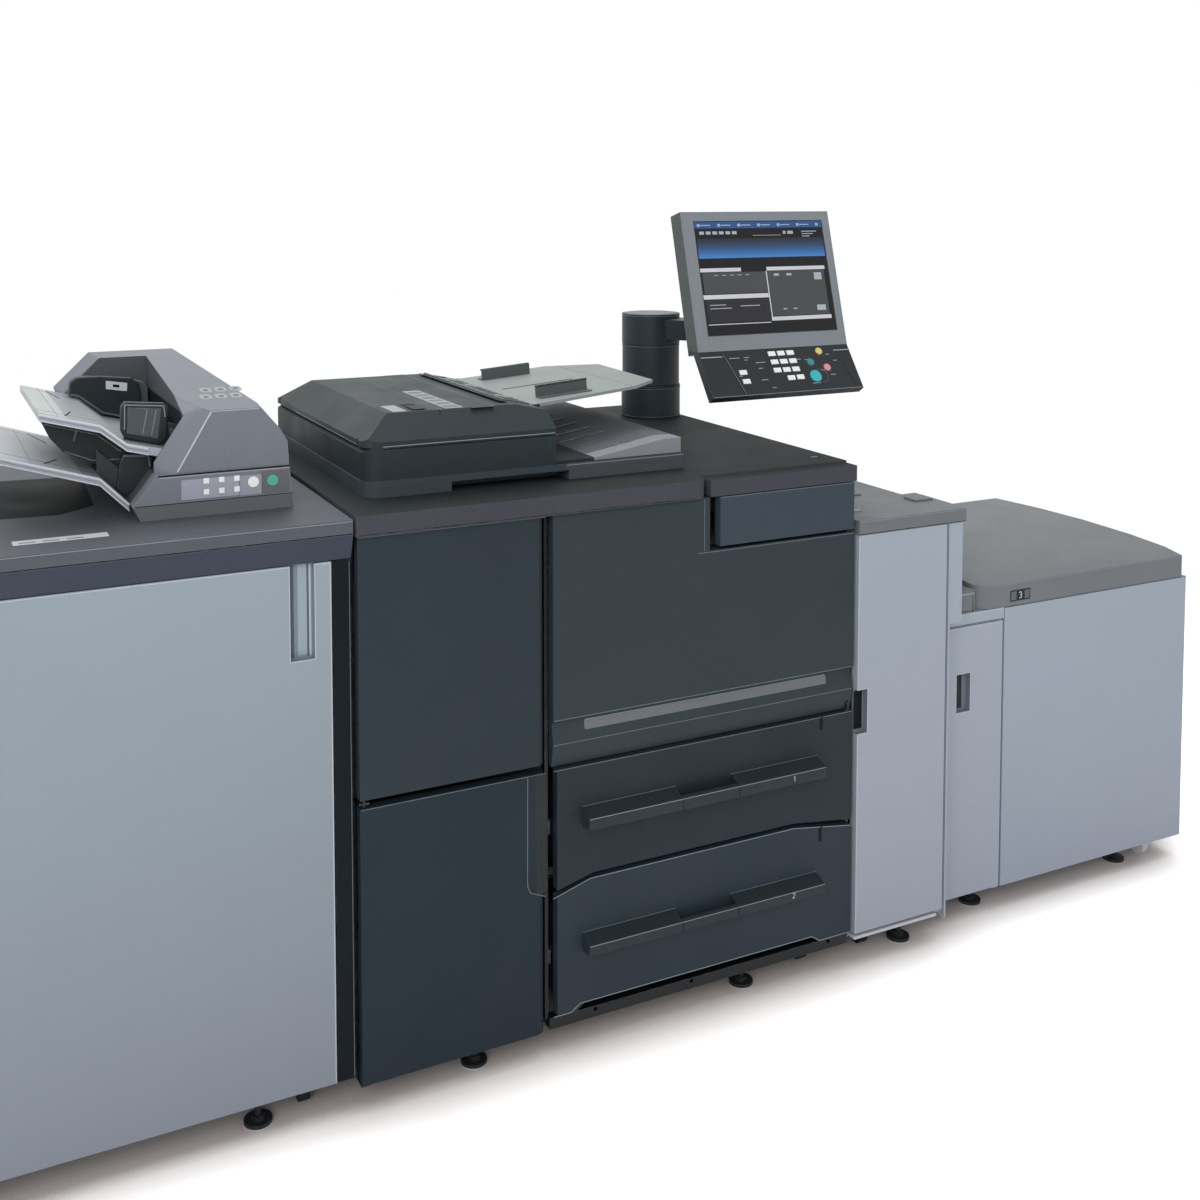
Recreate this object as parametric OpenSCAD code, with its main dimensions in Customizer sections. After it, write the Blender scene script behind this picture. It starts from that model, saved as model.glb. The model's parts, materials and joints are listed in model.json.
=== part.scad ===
// Digital production printer: finishing unit with post inserter, print engine with document
// feeder and operation panel, relay unit and large paper deck, docked in one line.
// X runs to the right along the line, Y runs to the back, Z is up.
// The origin is on the floor in the middle of the whole line.

/* [Line] */
// Width of the print engine
engine_w = 990; // [970:5:1030]
// Depth of the print engine behind its doors' front faces
engine_d = 860; // [840:5:900]
// Width of the finishing unit
finisher_w = 760; // [740:5:800]
// Width of the relay unit's lower part
relay_w = 228; // [220:1:260]
// Width of the paper deck
deck_w = 724; // [700:2:760]
// Gap between two docked units
dock_gap = 4; // [3:0.5:6]
// How far the stack tray reaches out past the finishing unit
tray_reach = 220; // [180:10:260]

/* [Sheets and fits] */
// Thickness of frame sheets
sheet_t = 3; // [2:0.5:4]
// Thickness of outer covers
cover_t = 2.5; // [2:0.5:3]
// Depth of the engine's doors and drawer fronts
door_t = 20; // [16:1:24]
// Gap between pieces that are seated face to face
seat = 0.3; // [0.2:0.1:0.4]
// Clearance of a turning shaft in its bore, on the radius
run_fit = 0.05; // [0.02:0.01:0.1]
// Gap round doors and drawer fronts
door_gap = 3; // [2:0.5:5]

/* [Engine heights] */
// Height of the underside of the base pan
pan_z = 50; // [46:1:56]
// Thickness of the base pan
pan_t = 14; // [10:1:18]
// Height of the lower edge of the lower drawer front
lower_front_z = 85; // [80:1:90]
// Height of the lower drawer front in its middle
lower_front_h = 225; // [220:1:232]
// Height of the upper drawer front in its middle
upper_front_h = 198; // [194:1:204]
// Gap between the two drawer fronts
drawer_split = 8; // [6:1:12]
// Height of the worktop's upper face
worktop_z = 1000; // [995:1:1010]
// Thickness of the worktop
worktop_t = 34; // [30:1:38]
// How far the worktop stands out over the doors
worktop_lip = 10; // [6:1:14]

/* [Engine doors] */
// Width of the two left doors
left_door_w = 332; // [325:1:336]
// Radius of the rounded edge of the left doors
left_door_r = 20; // [14:1:20]
// Width of the dark post between the left and right doors
post_gap = 14; // [10:1:16]
// Width of the toner door
toner_door_w = 300; // [290:1:310]
// Height of the toner door
toner_door_h = 91; // [88:1:96]
// Width of the finger slot left of the toner door
toner_slot_w = 20; // [16:1:24]
// How far the toner door stands out before the front door
toner_proud = 4; // [2:1:6]
// Height of the slanted grip band along the front door's foot
grip_band_h = 83; // [76:1:90]
// How far the grip band leans back
grip_band_in = 8; // [5:1:10]
// Sideways reach of the rising wings of the drawer fronts, on the left
wing_w_left = 72; // [60:2:84]
// Sideways reach of the rising wings of the drawer fronts, on the right
wing_w_right = 136; // [120:2:150]
// Height of the wings
wing_drop = 18; // [12:1:22]
// Height of the drawer fronts' feet beside the lowest edge
foot_drop = 12; // [8:1:16]

/* [Drawers] */
// Pull length of a drawer
drawer_pull = 520; // [440:10:560]
// Depth of a drawer's paper box
drawer_box_d = 590; // [560:5:600]
// Wall thickness of the paper boxes
box_t = 3; // [2:0.5:4]
// Height of the upper paper box
upper_box_h = 140; // [120:5:150]
// Height of the lower paper box
lower_box_h = 160; // [140:5:170]
// Thickness of a lift plate
lift_t = 3; // [2:0.5:4]
// Height of a drawer rail
rail_h = 26; // [20:1:32]
// Length of a drawer handle
handle_l = 501; // [480:1:520]
// Height of the upper drawer's handle
upper_handle_h = 35; // [30:1:40]
// Height of the lower drawer's handle
lower_handle_h = 32; // [28:1:36]
// How far a handle stands out
handle_reach = 30; // [26:1:34]
// Wall of a handle's grip bar
grip_bar_t = 9; // [7:0.5:11]
// Length of the finger gap in a handle
finger_l = 118; // [100:2:130]

/* [Scanner] */
// Width of the platen glass
glass_w = 440; // [430:5:450]
// Depth of the platen glass
glass_d = 310; // [300:5:320]
// Thickness of the platen glass
glass_t = 4; // [3:0.5:5]
// Width of the ledge that carries the glass
glass_ledge = 6; // [4:1:8]
// Width of the scanner carriage
carriage_w = 44; // [36:2:52]
// Travel of the scanner carriage
carriage_travel = 370; // [340:10:376]
// Radius of the two carriage rods
rod_r = 6; // [5:0.5:7]
// Height of the scanner bay under the worktop
scanner_bay_h = 90; // [86:1:96]

/* [Print engine inside] */
// Radius of the photoconductor drum
drum_r = 50; // [40:1:54]
// Length of the drum and the fixing rollers
roller_l = 380; // [340:10:400]
// Radius of the drum's and rollers' shafts
shaft_r = 10; // [8:0.5:12]
// Radius of the drum's flywheel
flywheel_r = 62; // [55:1:70]
// Radius of the fixing rollers
fixing_r = 32; // [28:1:36]
// Radius of the toner bottle
bottle_r = 38; // [34:1:39]
// Length of the toner bottle
bottle_l = 520; // [480:10:540]

/* [Document feeder] */
// Place of the feeder behind the doors' front faces
feeder_front = 105; // [100:1:115]
// Place of the feeder from the engine's left side
feeder_left = 51; // [45:1:60]
// Width of the feeder's base
feeder_w = 618; // [600:2:640]
// Depth of the feeder
feeder_d = 600; // [590:5:640]
// Height of the feeder's base
feeder_base_h = 29; // [27:1:32]
// Height of the hand recess under the base
lift_recess_h = 17; // [14:1:20]
// Width of the hand recess
lift_recess_w = 225; // [200:5:240]
// Width of the feeder's housing
housing_w = 354; // [340:2:370]
// Height of the feeder's housing
housing_h = 56; // [52:1:58]
// Height of the rim of the feeder's cover
cover_rim_h = 10; // [9:1:14]
// Height of the feeder's cover
feeder_cover_h = 50; // [46:1:56]
// Radius of the feeder's front left corner
feeder_corner_r = 30; // [20:2:36]
// Width of the slopes round the cover's top
cover_slope_w = 56; // [46:1:60]
// Width of the input tray
input_tray_w = 300; // [280:5:310]
// Slope of the input tray in degrees
input_slope = 4.5; // [3:0.5:6]
// Thickness of the input tray
input_tray_t = 6; // [4:0.5:8]
// Height of the guides on the input tray
guide_h = 22; // [16:1:26]
// Travel of each side guide
guide_travel = 60; // [50:5:70]

/* [Panel post and arm] */
// Radius of the post
post_r = 66; // [60:1:70]
// Height of the post's collar
post_collar_h = 75; // [65:1:85]
// Height of the post under the arm
post_h = 172; // [160:1:184]
// Height of the arm
arm_h = 68; // [60:1:76]
// Width of the arm's beam
arm_w = 74; // [64:1:84]
// Swivel of the panel arm each way, in degrees
arm_swing = 25; // [15:1:27]

/* [Operation panel] */
// Width of the panel
panel_w = 386; // [376:2:396]
// Height of the screen part
panel_h = 308; // [300:2:318]
// Thickness of the screen part
panel_t = 42; // [36:1:46]
// Width of the screen
screen_w = 334; // [320:2:340]
// Height of the screen
screen_h = 250; // [240:2:256]
// Lean of the screen in degrees
panel_tilt = 15; // [12:0.5:20]
// Lean of the key tray in degrees
key_tilt = 35; // [30:1:45]
// Length of the key tray down its slope
key_tray_l = 108; // [104:2:120]
// Thickness of the key tray
key_tray_t = 20; // [18:1:26]
// Height of the screen's middle above the worktop
screen_rise = 328; // [320:1:340]
// Travel of a key
key_travel = 1.5; // [1:0.1:2]

/* [Finishing unit] */
// Depth of the finishing unit
finisher_d = 740; // [700:10:780]
// How far its worktop lies below the engine's
finisher_step = 5; // [0:1:10]
// Thickness of that worktop
finisher_top_t = 24; // [20:1:28]
// Height of the slanted band under the worktop
fascia_h = 41; // [36:1:46]
// How far the door's face stands behind the engine's doors
finisher_set_back = 10; // [6:1:14]
// Height of the door's lower edge
finisher_door_z = 62; // [56:1:70]
// Width of the door's recessed handle
recess_w = 39; // [34:1:44]
// Height of the door's recessed handle
recess_h = 154; // [140:2:170]
// Depth of the recessed handle
recess_d = 14; // [10:1:15]
// Height of the stack tray at rest
stack_z = 600; // [560:10:620]
// Downward travel of the stack tray
stack_drop = 380; // [300:10:400]
// Depth of the stack tray
stack_d = 400; // [360:10:420]

/* [Post inserter] */
// Width of the inserter's console at its foot
inserter_w = 244; // [230:2:250]
// Height of the console's base
inserter_base_h = 71; // [66:1:76]
// Height of the console's front ridge above the worktop
inserter_h = 188; // [180:2:200]
// Depth of the console
inserter_d = 450; // [430:5:480]
// Thickness of a sheet tray
sheet_tray_t = 14; // [10:1:15]

/* [Relay unit] */
// Depth of the relay unit
relay_d = 640; // [600:10:680]
// Height of the relay unit
relay_h = 888; // [880:1:896]
// Thickness of the relay unit's top
relay_top_t = 28; // [24:1:32]
// How far the relay unit's top reaches over the paper deck
relay_overhang = 36; // [30:1:40]
// Height of the handle recess in the relay door
relay_recess_h = 86; // [76:1:96]
// Width of the handle recess in the relay door
relay_recess_w = 25; // [20:1:30]

/* [Paper deck] */
// Depth of the paper deck
deck_d = 600; // [580:5:640]
// Height of the deck's body
deck_h = 651; // [645:1:656]
// How far the deck stands behind the engine's doors
deck_set_back = 43; // [38:1:48]
// Thickness of the slab on the deck's body
deck_slab_t = 25; // [22:1:28]
// Width of the narrow door
deck_door_w = 149; // [140:1:160]
// Place of the lid's left edge from the deck's left side
lid_x0 = 108; // [106:2:130]
// Height of the lid's front rim
lid_rim_h = 48; // [44:1:54]
// Rise of the lid's crown above its rim
lid_crown = 20; // [14:1:26]
// Radius of the lid's front left corner
lid_corner_r = 40; // [30:1:48]
// Upward travel of the deck's lift plate
deck_lift = 420; // [380:10:440]

/* [Casters and feet] */
// Radius of a caster wheel
wheel_r = 21; // [18:0.5:22]
// Width of a caster wheel
wheel_w = 18; // [14:1:22]
// Radius of a levelling foot
foot_r = 23; // [20:1:26]
// Height of a levelling foot's disc
foot_h = 8; // [6:1:10]

/* [Hidden] */
$fn = 48;
// Overrun of every cut
eps = 1;

// Places of the units in the line
line_w = tray_reach + finisher_w + engine_w + relay_w + deck_w + 3 * dock_gap;
line_x0 = -line_w / 2;
finisher_x0 = line_x0 + tray_reach;
engine_x0 = finisher_x0 + finisher_w + dock_gap;
relay_x0 = engine_x0 + engine_w + dock_gap;
deck_x0 = relay_x0 + relay_w + dock_gap;
face_y = -(handle_reach + engine_d) / 2 + handle_reach;

module at_engine() { translate([engine_x0, face_y, 0]) children(); }
module at_finisher() { translate([finisher_x0, face_y, 0]) children(); }
module at_relay() { translate([relay_x0, face_y, 0]) children(); }
module at_deck() { translate([deck_x0, face_y + deck_set_back, 0]) children(); }

// A box from its low corner to its high corner
module block(low, high) { translate(low) cube(high - low); }
// A box whose front left corner is round in plan
module corner_block(low, high, r) {
  translate([0, 0, low[2]]) linear_extrude(high[2] - low[2]) {
    translate([low[0], low[1] + r]) square([high[0] - low[0], high[1] - low[1] - r]);
    translate([low[0] + r, low[1]]) square([high[0] - low[0] - r, r + eps]);
    translate([low[0] + r, low[1] + r]) circle(r);
  }
}
// An X and Z outline, swept along Y
module sweep_y(y0, y1) { translate([0, y1, 0]) rotate([90, 0, 0]) linear_extrude(y1 - y0) children(); }
// A Y and Z outline, swept along X
module sweep_x(x0, x1) { translate([x0, 0, 0]) rotate([90, 0, 90]) linear_extrude(x1 - x0) children(); }
// A round bar along Y
module rod_y(x, z, r, y0, y1) { translate([x, y1, z]) rotate([90, 0, 0]) cylinder(r = r, h = y1 - y0); }
// A round bar along X
module rod_x(y, z, r, x0, x1) { translate([x0, y, z]) rotate([0, 90, 0]) cylinder(r = r, h = x1 - x0); }

// Heights of the engine's levels
pan_top = pan_z + pan_t;
lower_front_top = lower_front_z + lower_front_h;
upper_front_z = lower_front_top + drawer_split;
upper_front_top = upper_front_z + upper_front_h;
door_z = upper_front_top + door_gap;
worktop_under = worktop_z - worktop_t;
door_top = worktop_under - 4 * seat;
shelf_top = door_z + sheet_t;
scanner_floor_z = worktop_under - scanner_bay_h;
scanner_floor_top = scanner_floor_z + sheet_t;

// Setback of the left doors from the engine's left side
edge_in = 4;
// Setback of the right door from the engine's right side
edge_out = 2;
// Room between the doors' backs and the frame
door_room = 10;
// Place of a door's hinge line, from its edge and from its face
hinge_in = 8;
hinge_y = 6;
// Radius and depth of the hinge pins
pin_r = 3;
pin_l = 14;
// Thickness and width of a hinge leaf
leaf_t = 2;
leaf_w = 16;

// Widths and depths of the engine's frame
left_x1 = edge_in + left_door_w;
right_x0 = left_x1 + post_gap;
right_x1 = engine_w - edge_out;
side_x = cover_t + seat;
side_in = side_x + sheet_t + seat;
side_far = engine_w - side_in;
frame_front = door_t + door_room;
rear_depth_share = 0.757;
rear_plate_y = engine_d * rear_depth_share;
bay_end = rear_plate_y - seat;
mid_wall_x = (left_x1 + right_x0 - sheet_t) / 2;
mid_wall_end = mid_wall_x + sheet_t;
bearing_y = frame_front + 2 * pan_t;
bearing_end = bearing_y + sheet_t;
left_hinge_x = edge_in + hinge_in;
right_hinge_x = right_x1 - hinge_in;
left_upper_z = upper_front_top + post_gap;
toner_x1 = right_x1 - edge_in;
toner_x0 = toner_x1 - toner_door_w;
toner_z = door_top - toner_door_h;
// Height of the sill under the toner door
toner_sill = 7;
notch_x = toner_x0 - toner_slot_w;
notch_z = toner_z - toner_sill;
toner_floor_z = notch_z + seat;
toner_floor_top = toner_floor_z + sheet_t;
grip_top = door_z + grip_band_h;

// Places of the print engine's turning parts
drum_x_share = 0.606;
drum_x = engine_w * drum_x_share;
// Height of the drum's middle over the shelf
drum_rise = 212;
drum_z = shelf_top + drum_rise;
roller_y0 = bearing_end + 2 * shaft_r;
roller_y1 = roller_y0 + roller_l;
shaft_y0 = bearing_y - shaft_r;
shaft_y1 = rear_plate_y + sheet_t + shaft_r;
fixing_x = mid_wall_x / 2 + shaft_r;
heat_z = drum_z - 2 * shaft_r;
press_z = heat_z - 2 * fixing_r - seat;
bottle_x = (toner_x0 + toner_x1) / 2;
bottle_z = toner_floor_top + seat + bottle_r;
bottle_y0 = frame_front;
bottle_y1 = bottle_y0 + bottle_l;

// The platen and its carriage
glass_x0 = (notch_x - glass_w) / 2;
glass_y0 = feeder_front + feeder_d / 12;
rod_front_y = glass_y0 + 2 * rod_r;
rod_rear_y = glass_y0 + glass_d - 2 * rod_r;
rod_z = worktop_under - scanner_bay_h / 2;
carriage_x0 = glass_x0 + rod_r;
carriage_h = scanner_bay_h / 2;

// Hooks that hold two docked units together, out of sight between them
dock_y = 300;
dock_hook_w = 60;
dock_zs = [200, 520];
module dock_hooks(x0, x1, y0) {
  for (z = dock_zs) block([x0, y0, z], [x1, y0 + dock_hook_w, z + dock_hook_w / 2]);
}
// A hinge pin that stands in a door
module pin_z(x, y, z0, z1) { translate([x, y, z0]) cylinder(r = pin_r, h = z1 - z0); }
// The bore that a hinge pin turns in
module pin_bore_z(x, y, z0, z1) { translate([x, y, z0]) cylinder(r = pin_r + run_fit, h = z1 - z0); }

module engine_frame() {
  color("#6f7478") at_engine() {
    block([side_x, frame_front, pan_z], [engine_w - side_x, engine_d - cover_t - seat, pan_top]);
    frame_walls();
    frame_shelves();
    bearing_plates();
    carriage_rods();
    base_skirt();
    hinge_leaves();
  }
}
// The upright sheets of the frame
module frame_walls() {
  z0 = pan_top + seat;
  back = engine_d - cover_t - seat;
  for (x = [side_x, side_far]) block([x, frame_front, z0], [x + sheet_t, back, worktop_under]);
  difference() {
    block([side_in, rear_plate_y, z0], [side_far - seat, rear_plate_y + sheet_t, worktop_under]);
    for (p = shaft_places) rod_y(p[0], p[1], shaft_r + run_fit, rear_plate_y - eps, rear_plate_y + sheet_t + eps);
  }
  block([mid_wall_x, frame_front, z0], [mid_wall_end, bay_end, door_z - seat]);
  block([mid_wall_x, frame_front, shelf_top + seat], [mid_wall_end, bay_end, scanner_floor_z - seat]);
  block([notch_x - sheet_t, frame_front, scanner_floor_top + seat], [notch_x, bay_end, worktop_under]);
  block([left_x1 + 2 * leaf_t, leaf_w, z0], [right_x0 - 2 * leaf_t, frame_front - seat, worktop_under]);
}
shaft_places = [[drum_x, drum_z], [fixing_x, heat_z], [fixing_x, press_z]];
// The level sheets of the frame
module frame_shelves() {
  block([side_in, frame_front, door_z], [side_far - seat, bay_end, shelf_top]);
  block([side_in, frame_front, scanner_floor_z], [notch_x, bay_end, scanner_floor_top]);
  block([notch_x + seat, frame_front, toner_floor_z], [side_far - seat, bay_end, toner_floor_top]);
  rail_z = (lower_front_top + upper_front_z) / 2;
  block([mid_wall_end + seat, frame_front, rail_z - sheet_t], [side_far - seat, 2 * frame_front, rail_z]);
}
// The plates in front that the shafts turn in
module bearing_plates() {
  difference() {
    block([mid_wall_end + seat, bearing_y, shelf_top + seat], [side_far - seat, bearing_end, toner_floor_z - seat]);
    rod_y(drum_x, drum_z, shaft_r + run_fit, bearing_y - eps, bearing_end + eps);
  }
  difference() {
    block([side_in, bearing_y, shelf_top + seat], [mid_wall_x - seat, bearing_end, scanner_floor_z - seat]);
    for (z = [heat_z, press_z]) rod_y(fixing_x, z, shaft_r + run_fit, bearing_y - eps, bearing_end + eps);
  }
}
module carriage_rods() {
  for (y = [rod_front_y, rod_rear_y]) rod_x(y, rod_z, rod_r, side_in, notch_x - sheet_t - seat);
}
// The strip under the drawers, with its three round holes
module base_skirt() {
  x0 = right_x0 - 2 * leaf_t + seat;
  z0 = pan_z - sheet_t;
  difference() {
    block([x0, door_t / 2, z0], [right_x1, frame_front - seat, lower_front_z - foot_drop - 2 * door_gap]);
    for (s = skirt_hole_shares) rod_y(x0 + s * (right_x1 - x0), z0 + pan_t, skirt_hole_r, 0, door_t);
  }
}
skirt_hole_shares = [0.14, 0.45, 0.93];
skirt_hole_r = 4;
// Leaves that carry the doors' hinge pins
module hinge_leaves() {
  leaf_y0 = hinge_y - pin_r;
  mid_z = (upper_front_top + left_upper_z) / 2;
  block([side_x, leaf_y0, mid_z - leaf_t], [left_hinge_x + hinge_in, frame_front - seat, mid_z + leaf_t]);
  pin_z(left_hinge_x, hinge_y, left_upper_z - post_gap - pin_l, left_upper_z + pin_l);
  block([side_x, leaf_y0, pan_z - sheet_t], [left_hinge_x + hinge_in, frame_front + leaf_w, pan_z - seat]);
  pin_z(left_hinge_x, hinge_y, pan_z - sheet_t, pan_z + pin_l);
  low_z = upper_front_top + (door_gap - leaf_t) / 2;
  block([right_hinge_x - leaf_w / 2, leaf_y0, low_z], [side_far - seat, frame_front + leaf_w, door_z - seat]);
  pin_z(right_hinge_x, hinge_y, low_z, door_z + pin_l);
  block([right_hinge_x - leaf_w / 2, leaf_y0, toner_floor_z], [side_far - seat, frame_front - seat, toner_floor_top]);
  pin_z(right_hinge_x, hinge_y, notch_z - pin_l, toner_z + pin_l);
}

module engine_side_covers() {
  color("#30383f") at_engine() for (x = [0, engine_w - cover_t])
    block([x, frame_front, pan_top], [x + cover_t, engine_d, worktop_under - seat]);
}

// Rows of vent slots in the rear cover
vent_rows = 6;
vent_l = 150;
vent_h = 8;
module engine_rear_cover() {
  x0 = cover_t + seat;
  color("#30383f") at_engine() difference() {
    block([x0, engine_d - cover_t, pan_top], [engine_w - x0, engine_d, worktop_under - seat]);
    for (x = [engine_w / 4 - vent_l / 2, engine_w * 3 / 4 - vent_l / 2], i = [0:vent_rows - 1])
      block([x, engine_d - 2 * cover_t, drum_z + i * 2 * vent_h],
            [x + vent_l, engine_d + eps, drum_z + vent_h + i * 2 * vent_h]);
    block([inlet_x, engine_d - 2 * cover_t, inlet_z], [inlet_x + inlet_w, engine_d + eps, inlet_z + inlet_h]);
  }
}
inlet_w = 50;
inlet_h = 34;
inlet_x = engine_w / 8;
inlet_z = pan_top + inlet_w;
// The socket that the mains lead plugs into
module power_inlet() {
  wall = 2 * cover_t;
  pins = [[1, 1], [3, 1], [2, 2]];
  color("#1d2022") at_engine() {
    difference() {
      block([inlet_x + seat, engine_d - inlet_h, inlet_z + seat],
            [inlet_x + inlet_w - seat, engine_d, inlet_z + inlet_h - seat]);
      block([inlet_x + wall, engine_d - inlet_h + wall, inlet_z + wall],
            [inlet_x + inlet_w - wall, engine_d + eps, inlet_z + inlet_h - wall]);
    }
    for (p = pins) rod_y(inlet_x + p[0] * inlet_w / 4, inlet_z + p[1] * inlet_h / 3, leaf_t, engine_d - inlet_h + leaf_t, engine_d - wall);
  }
}

// The worktop has a window that the platen glass lies in
worktop_left_w = 656;
worktop_corner_r = 26;
module engine_worktop() {
  color("#3d4245") at_engine() {
    difference() {
      union() {
        translate([0, 0, worktop_under + seat]) linear_extrude(worktop_t - seat) worktop_outline();
        block([notch_x, -toner_proud, worktop_under + seat], [engine_w, frame_front, worktop_z - edge_in]);
      }
      block([glass_x0 + glass_ledge, glass_y0 + glass_ledge, worktop_under - eps],
            [glass_x0 + glass_w - glass_ledge, glass_y0 + glass_d - glass_ledge, worktop_z + eps]);
      block([glass_x0, glass_y0, worktop_z - glass_t - seat],
            [glass_x0 + glass_w, glass_y0 + glass_d, worktop_z + eps]);
    }
    pin_z(left_hinge_x, hinge_y, door_top - pin_l, worktop_under + leaf_t);
    pin_z(right_hinge_x, hinge_y, door_top - pin_l, worktop_under + leaf_t);
  }
}
module worktop_outline() {
  r = worktop_corner_r;
  translate([0, frame_front]) square([engine_w, engine_d - frame_front]);
  translate([0, -worktop_lip]) square([worktop_left_w - r, frame_front + worktop_lip + eps]);
  translate([worktop_left_w - r - eps, r - worktop_lip]) square([r + eps, frame_front + worktop_lip - r + eps]);
  translate([worktop_left_w - r, r - worktop_lip]) circle(r);
}
module platen_glass() {
  color("#9fb4b8") at_engine()
    block([glass_x0 + seat, glass_y0 + seat, worktop_z - glass_t],
          [glass_x0 + glass_w - seat, glass_y0 + glass_d - seat, worktop_z]);
}
module scanner_carriage() {
  x0 = carriage_x0;
  x1 = carriage_x0 + carriage_w;
  color("#2b2e30") at_engine() difference() {
    union() {
      block([x0, glass_y0, rod_z - 2 * rod_r], [x1, glass_y0 + glass_d, rod_z + 2 * rod_r]);
      block([x0 + rod_r, glass_y0 + 4 * rod_r, rod_z], [x1 - rod_r, glass_y0 + glass_d - 4 * rod_r, rod_z + carriage_h / 2]);
    }
    for (y = [rod_front_y, rod_rear_y]) rod_x(y, rod_z, rod_r + run_fit, x0 - eps, x1 + eps);
  }
}

// The rounded right edge of a left door is a quarter circle in plan
module left_door(z0, z1) {
  r = left_door_r;
  difference() {
    translate([0, 0, z0]) linear_extrude(z1 - z0) {
      translate([edge_in, 0]) square([left_door_w - r, door_t]);
      intersection() {
        translate([left_x1 - r, r]) circle(r);
        translate([left_x1 - r - eps, 0]) square([r + eps, min(r, door_t)]);
      }
    }
    pin_bore_z(left_hinge_x, hinge_y, z0 - eps, z0 + pin_l + seat);
    pin_bore_z(left_hinge_x, hinge_y, z1 - pin_l - seat, z1 + eps);
  }
}
module left_upper_door() {
  color("#343d44") at_engine() left_door(left_upper_z, door_top);
}
module left_lower_door() {
  color("#343d44") at_engine() left_door(pan_z, upper_front_top);
}

// The front door is flat above and leans back in its grip band below
module front_door() {
  color("#363f46") at_engine() difference() {
    sweep_x(right_x0, right_x1) polygon([
      [0, door_top], [door_t, door_top], [door_t, door_z], [grip_band_in + leaf_t, door_z],
      [leaf_t / 2, (door_z + grip_top) / 2], [grip_band_in, grip_top - 3 * leaf_t], [0, grip_top]]);
    block([notch_x, -eps, notch_z], [right_x1 + eps, door_t + eps, door_top + eps]);
    pin_bore_z(right_hinge_x, hinge_y, door_z - eps, door_z + pin_l + seat);
    pin_bore_z(right_hinge_x, hinge_y, notch_z - pin_l - seat, notch_z + eps);
  }
}
module toner_door() {
  color("#343d44") at_engine() difference() {
    block([toner_x0, -toner_proud, toner_z], [toner_x1, door_t - toner_proud, door_top]);
    for (z = [toner_z - eps, door_top - pin_l - seat]) pin_bore_z(right_hinge_x, hinge_y, z, z + pin_l + seat + eps);
  }
}
// The bottle has a cap in front and a spiral's ribs as plain rings
bottle_ring_l = 30;
bottle_ring_h = 3;
module toner_bottle() {
  color("#e8e6df") at_engine() {
    rod_y(bottle_x, bottle_z, bottle_r - bottle_ring_h, bottle_y0, bottle_y1);
    for (y = [bottle_y0 + bottle_ring_l : 2 * bottle_ring_l : bottle_y1 - bottle_ring_l])
      rod_y(bottle_x, bottle_z, bottle_r, y, y + bottle_ring_l);
    rod_y(bottle_x, bottle_z, bottle_r * 2 / 3, bottle_y0 - pin_r, bottle_y0 + eps);
  }
}

// Sizes that both drawers share
rail_w = 13;
runner_gap = 0.3;
box_x0 = mid_wall_end + seat + 2 * rail_w + 2 * runner_gap;
box_x1 = side_far - 2 * seat - 2 * rail_w - 2 * runner_gap;
box_y0 = door_t + seat;
box_y1 = box_y0 + drawer_box_d;
front_x0 = right_x0 + 2 * drawer_split - 3 * door_gap;
upper_box_z = upper_front_z + pan_t;
lower_box_z = lower_front_z + leaf_t;

// An open box of separate walls with a runner on each side
module paper_box(z0, h) {
  z1 = z0 + h;
  y0 = box_y0;
  inner = z0 + box_t + seat;
  block([box_x0, y0, z0], [box_x1, box_y1, z0 + box_t]);
  block([box_x0, y0, inner], [box_x0 + box_t, box_y1, z1]);
  block([box_x1 - box_t, y0, inner], [box_x1, box_y1, z1]);
  block([box_x0 + box_t + seat, box_y1 - box_t, inner], [box_x1 - box_t - seat, box_y1, z1]);
  runner_z = z0 + h / 2 - rail_h / 4;
  for (x = [box_x0 - seat - rail_w, box_x1 + seat])
    block([x, y0 + frame_front, runner_z], [x + rail_w, box_y1, runner_z + rail_h / 2]);
}
// Fixed rails that the runners slide in
module drawer_rails() {
  x0 = mid_wall_end + seat;
  x1 = side_far - seat - rail_w;
  color("#9aa0a4") at_engine() for (b = [[upper_box_z, upper_box_h], [lower_box_z, lower_box_h]])
    for (x = [x0, x1]) block([x, frame_front, b[0] + b[1] / 2 - rail_h / 2],
      [x + rail_w, box_y1, b[0] + b[1] / 2 + rail_h / 2]);
}
// Front of the upper drawer, whose lower edge drops at both ends
module drawer_1() {
  color("#343d44") at_engine() {
    sweep_y(0, door_t) polygon([
      [front_x0, upper_front_top], [front_x0, upper_front_z - wing_drop],
      [front_x0 + wing_w_left, upper_front_z], [right_x1 - wing_w_right, upper_front_z],
      [right_x1, upper_front_z - wing_drop], [right_x1, upper_front_top]]);
    paper_box(upper_box_z, upper_box_h);
  }
}
module drawer_2() {
  foot = lower_front_z - foot_drop;
  color("#343d44") at_engine() {
    sweep_y(0, door_t) polygon([
      [front_x0, lower_front_top - wing_drop - door_gap], [front_x0, foot],
      [front_x0 + wing_w_left / 2, foot], [front_x0 + wing_w_left * 3 / 4, lower_front_z],
      [right_x1 - wing_w_left * 5 / 4, lower_front_z], [right_x1 - wing_w_left, foot], [right_x1, foot],
      [right_x1, lower_front_top - wing_drop - door_gap], [right_x1 - wing_w_right, lower_front_top],
      [front_x0 + wing_w_left, lower_front_top]]);
    paper_box(lower_box_z, lower_box_h);
  }
}
module lift_plate(z0) {
  side = box_t + 2 * leaf_t;
  block([box_x0 + side, box_y0 + side, z0 + box_t + seat], [box_x1 - side, box_y1 - side, z0 + box_t + seat + lift_t]);
}
module drawer_1_lift_plate() { color("#b8bcbd") at_engine() lift_plate(upper_box_z); }
module drawer_2_lift_plate() { color("#b8bcbd") at_engine() lift_plate(lower_box_z); }

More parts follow.
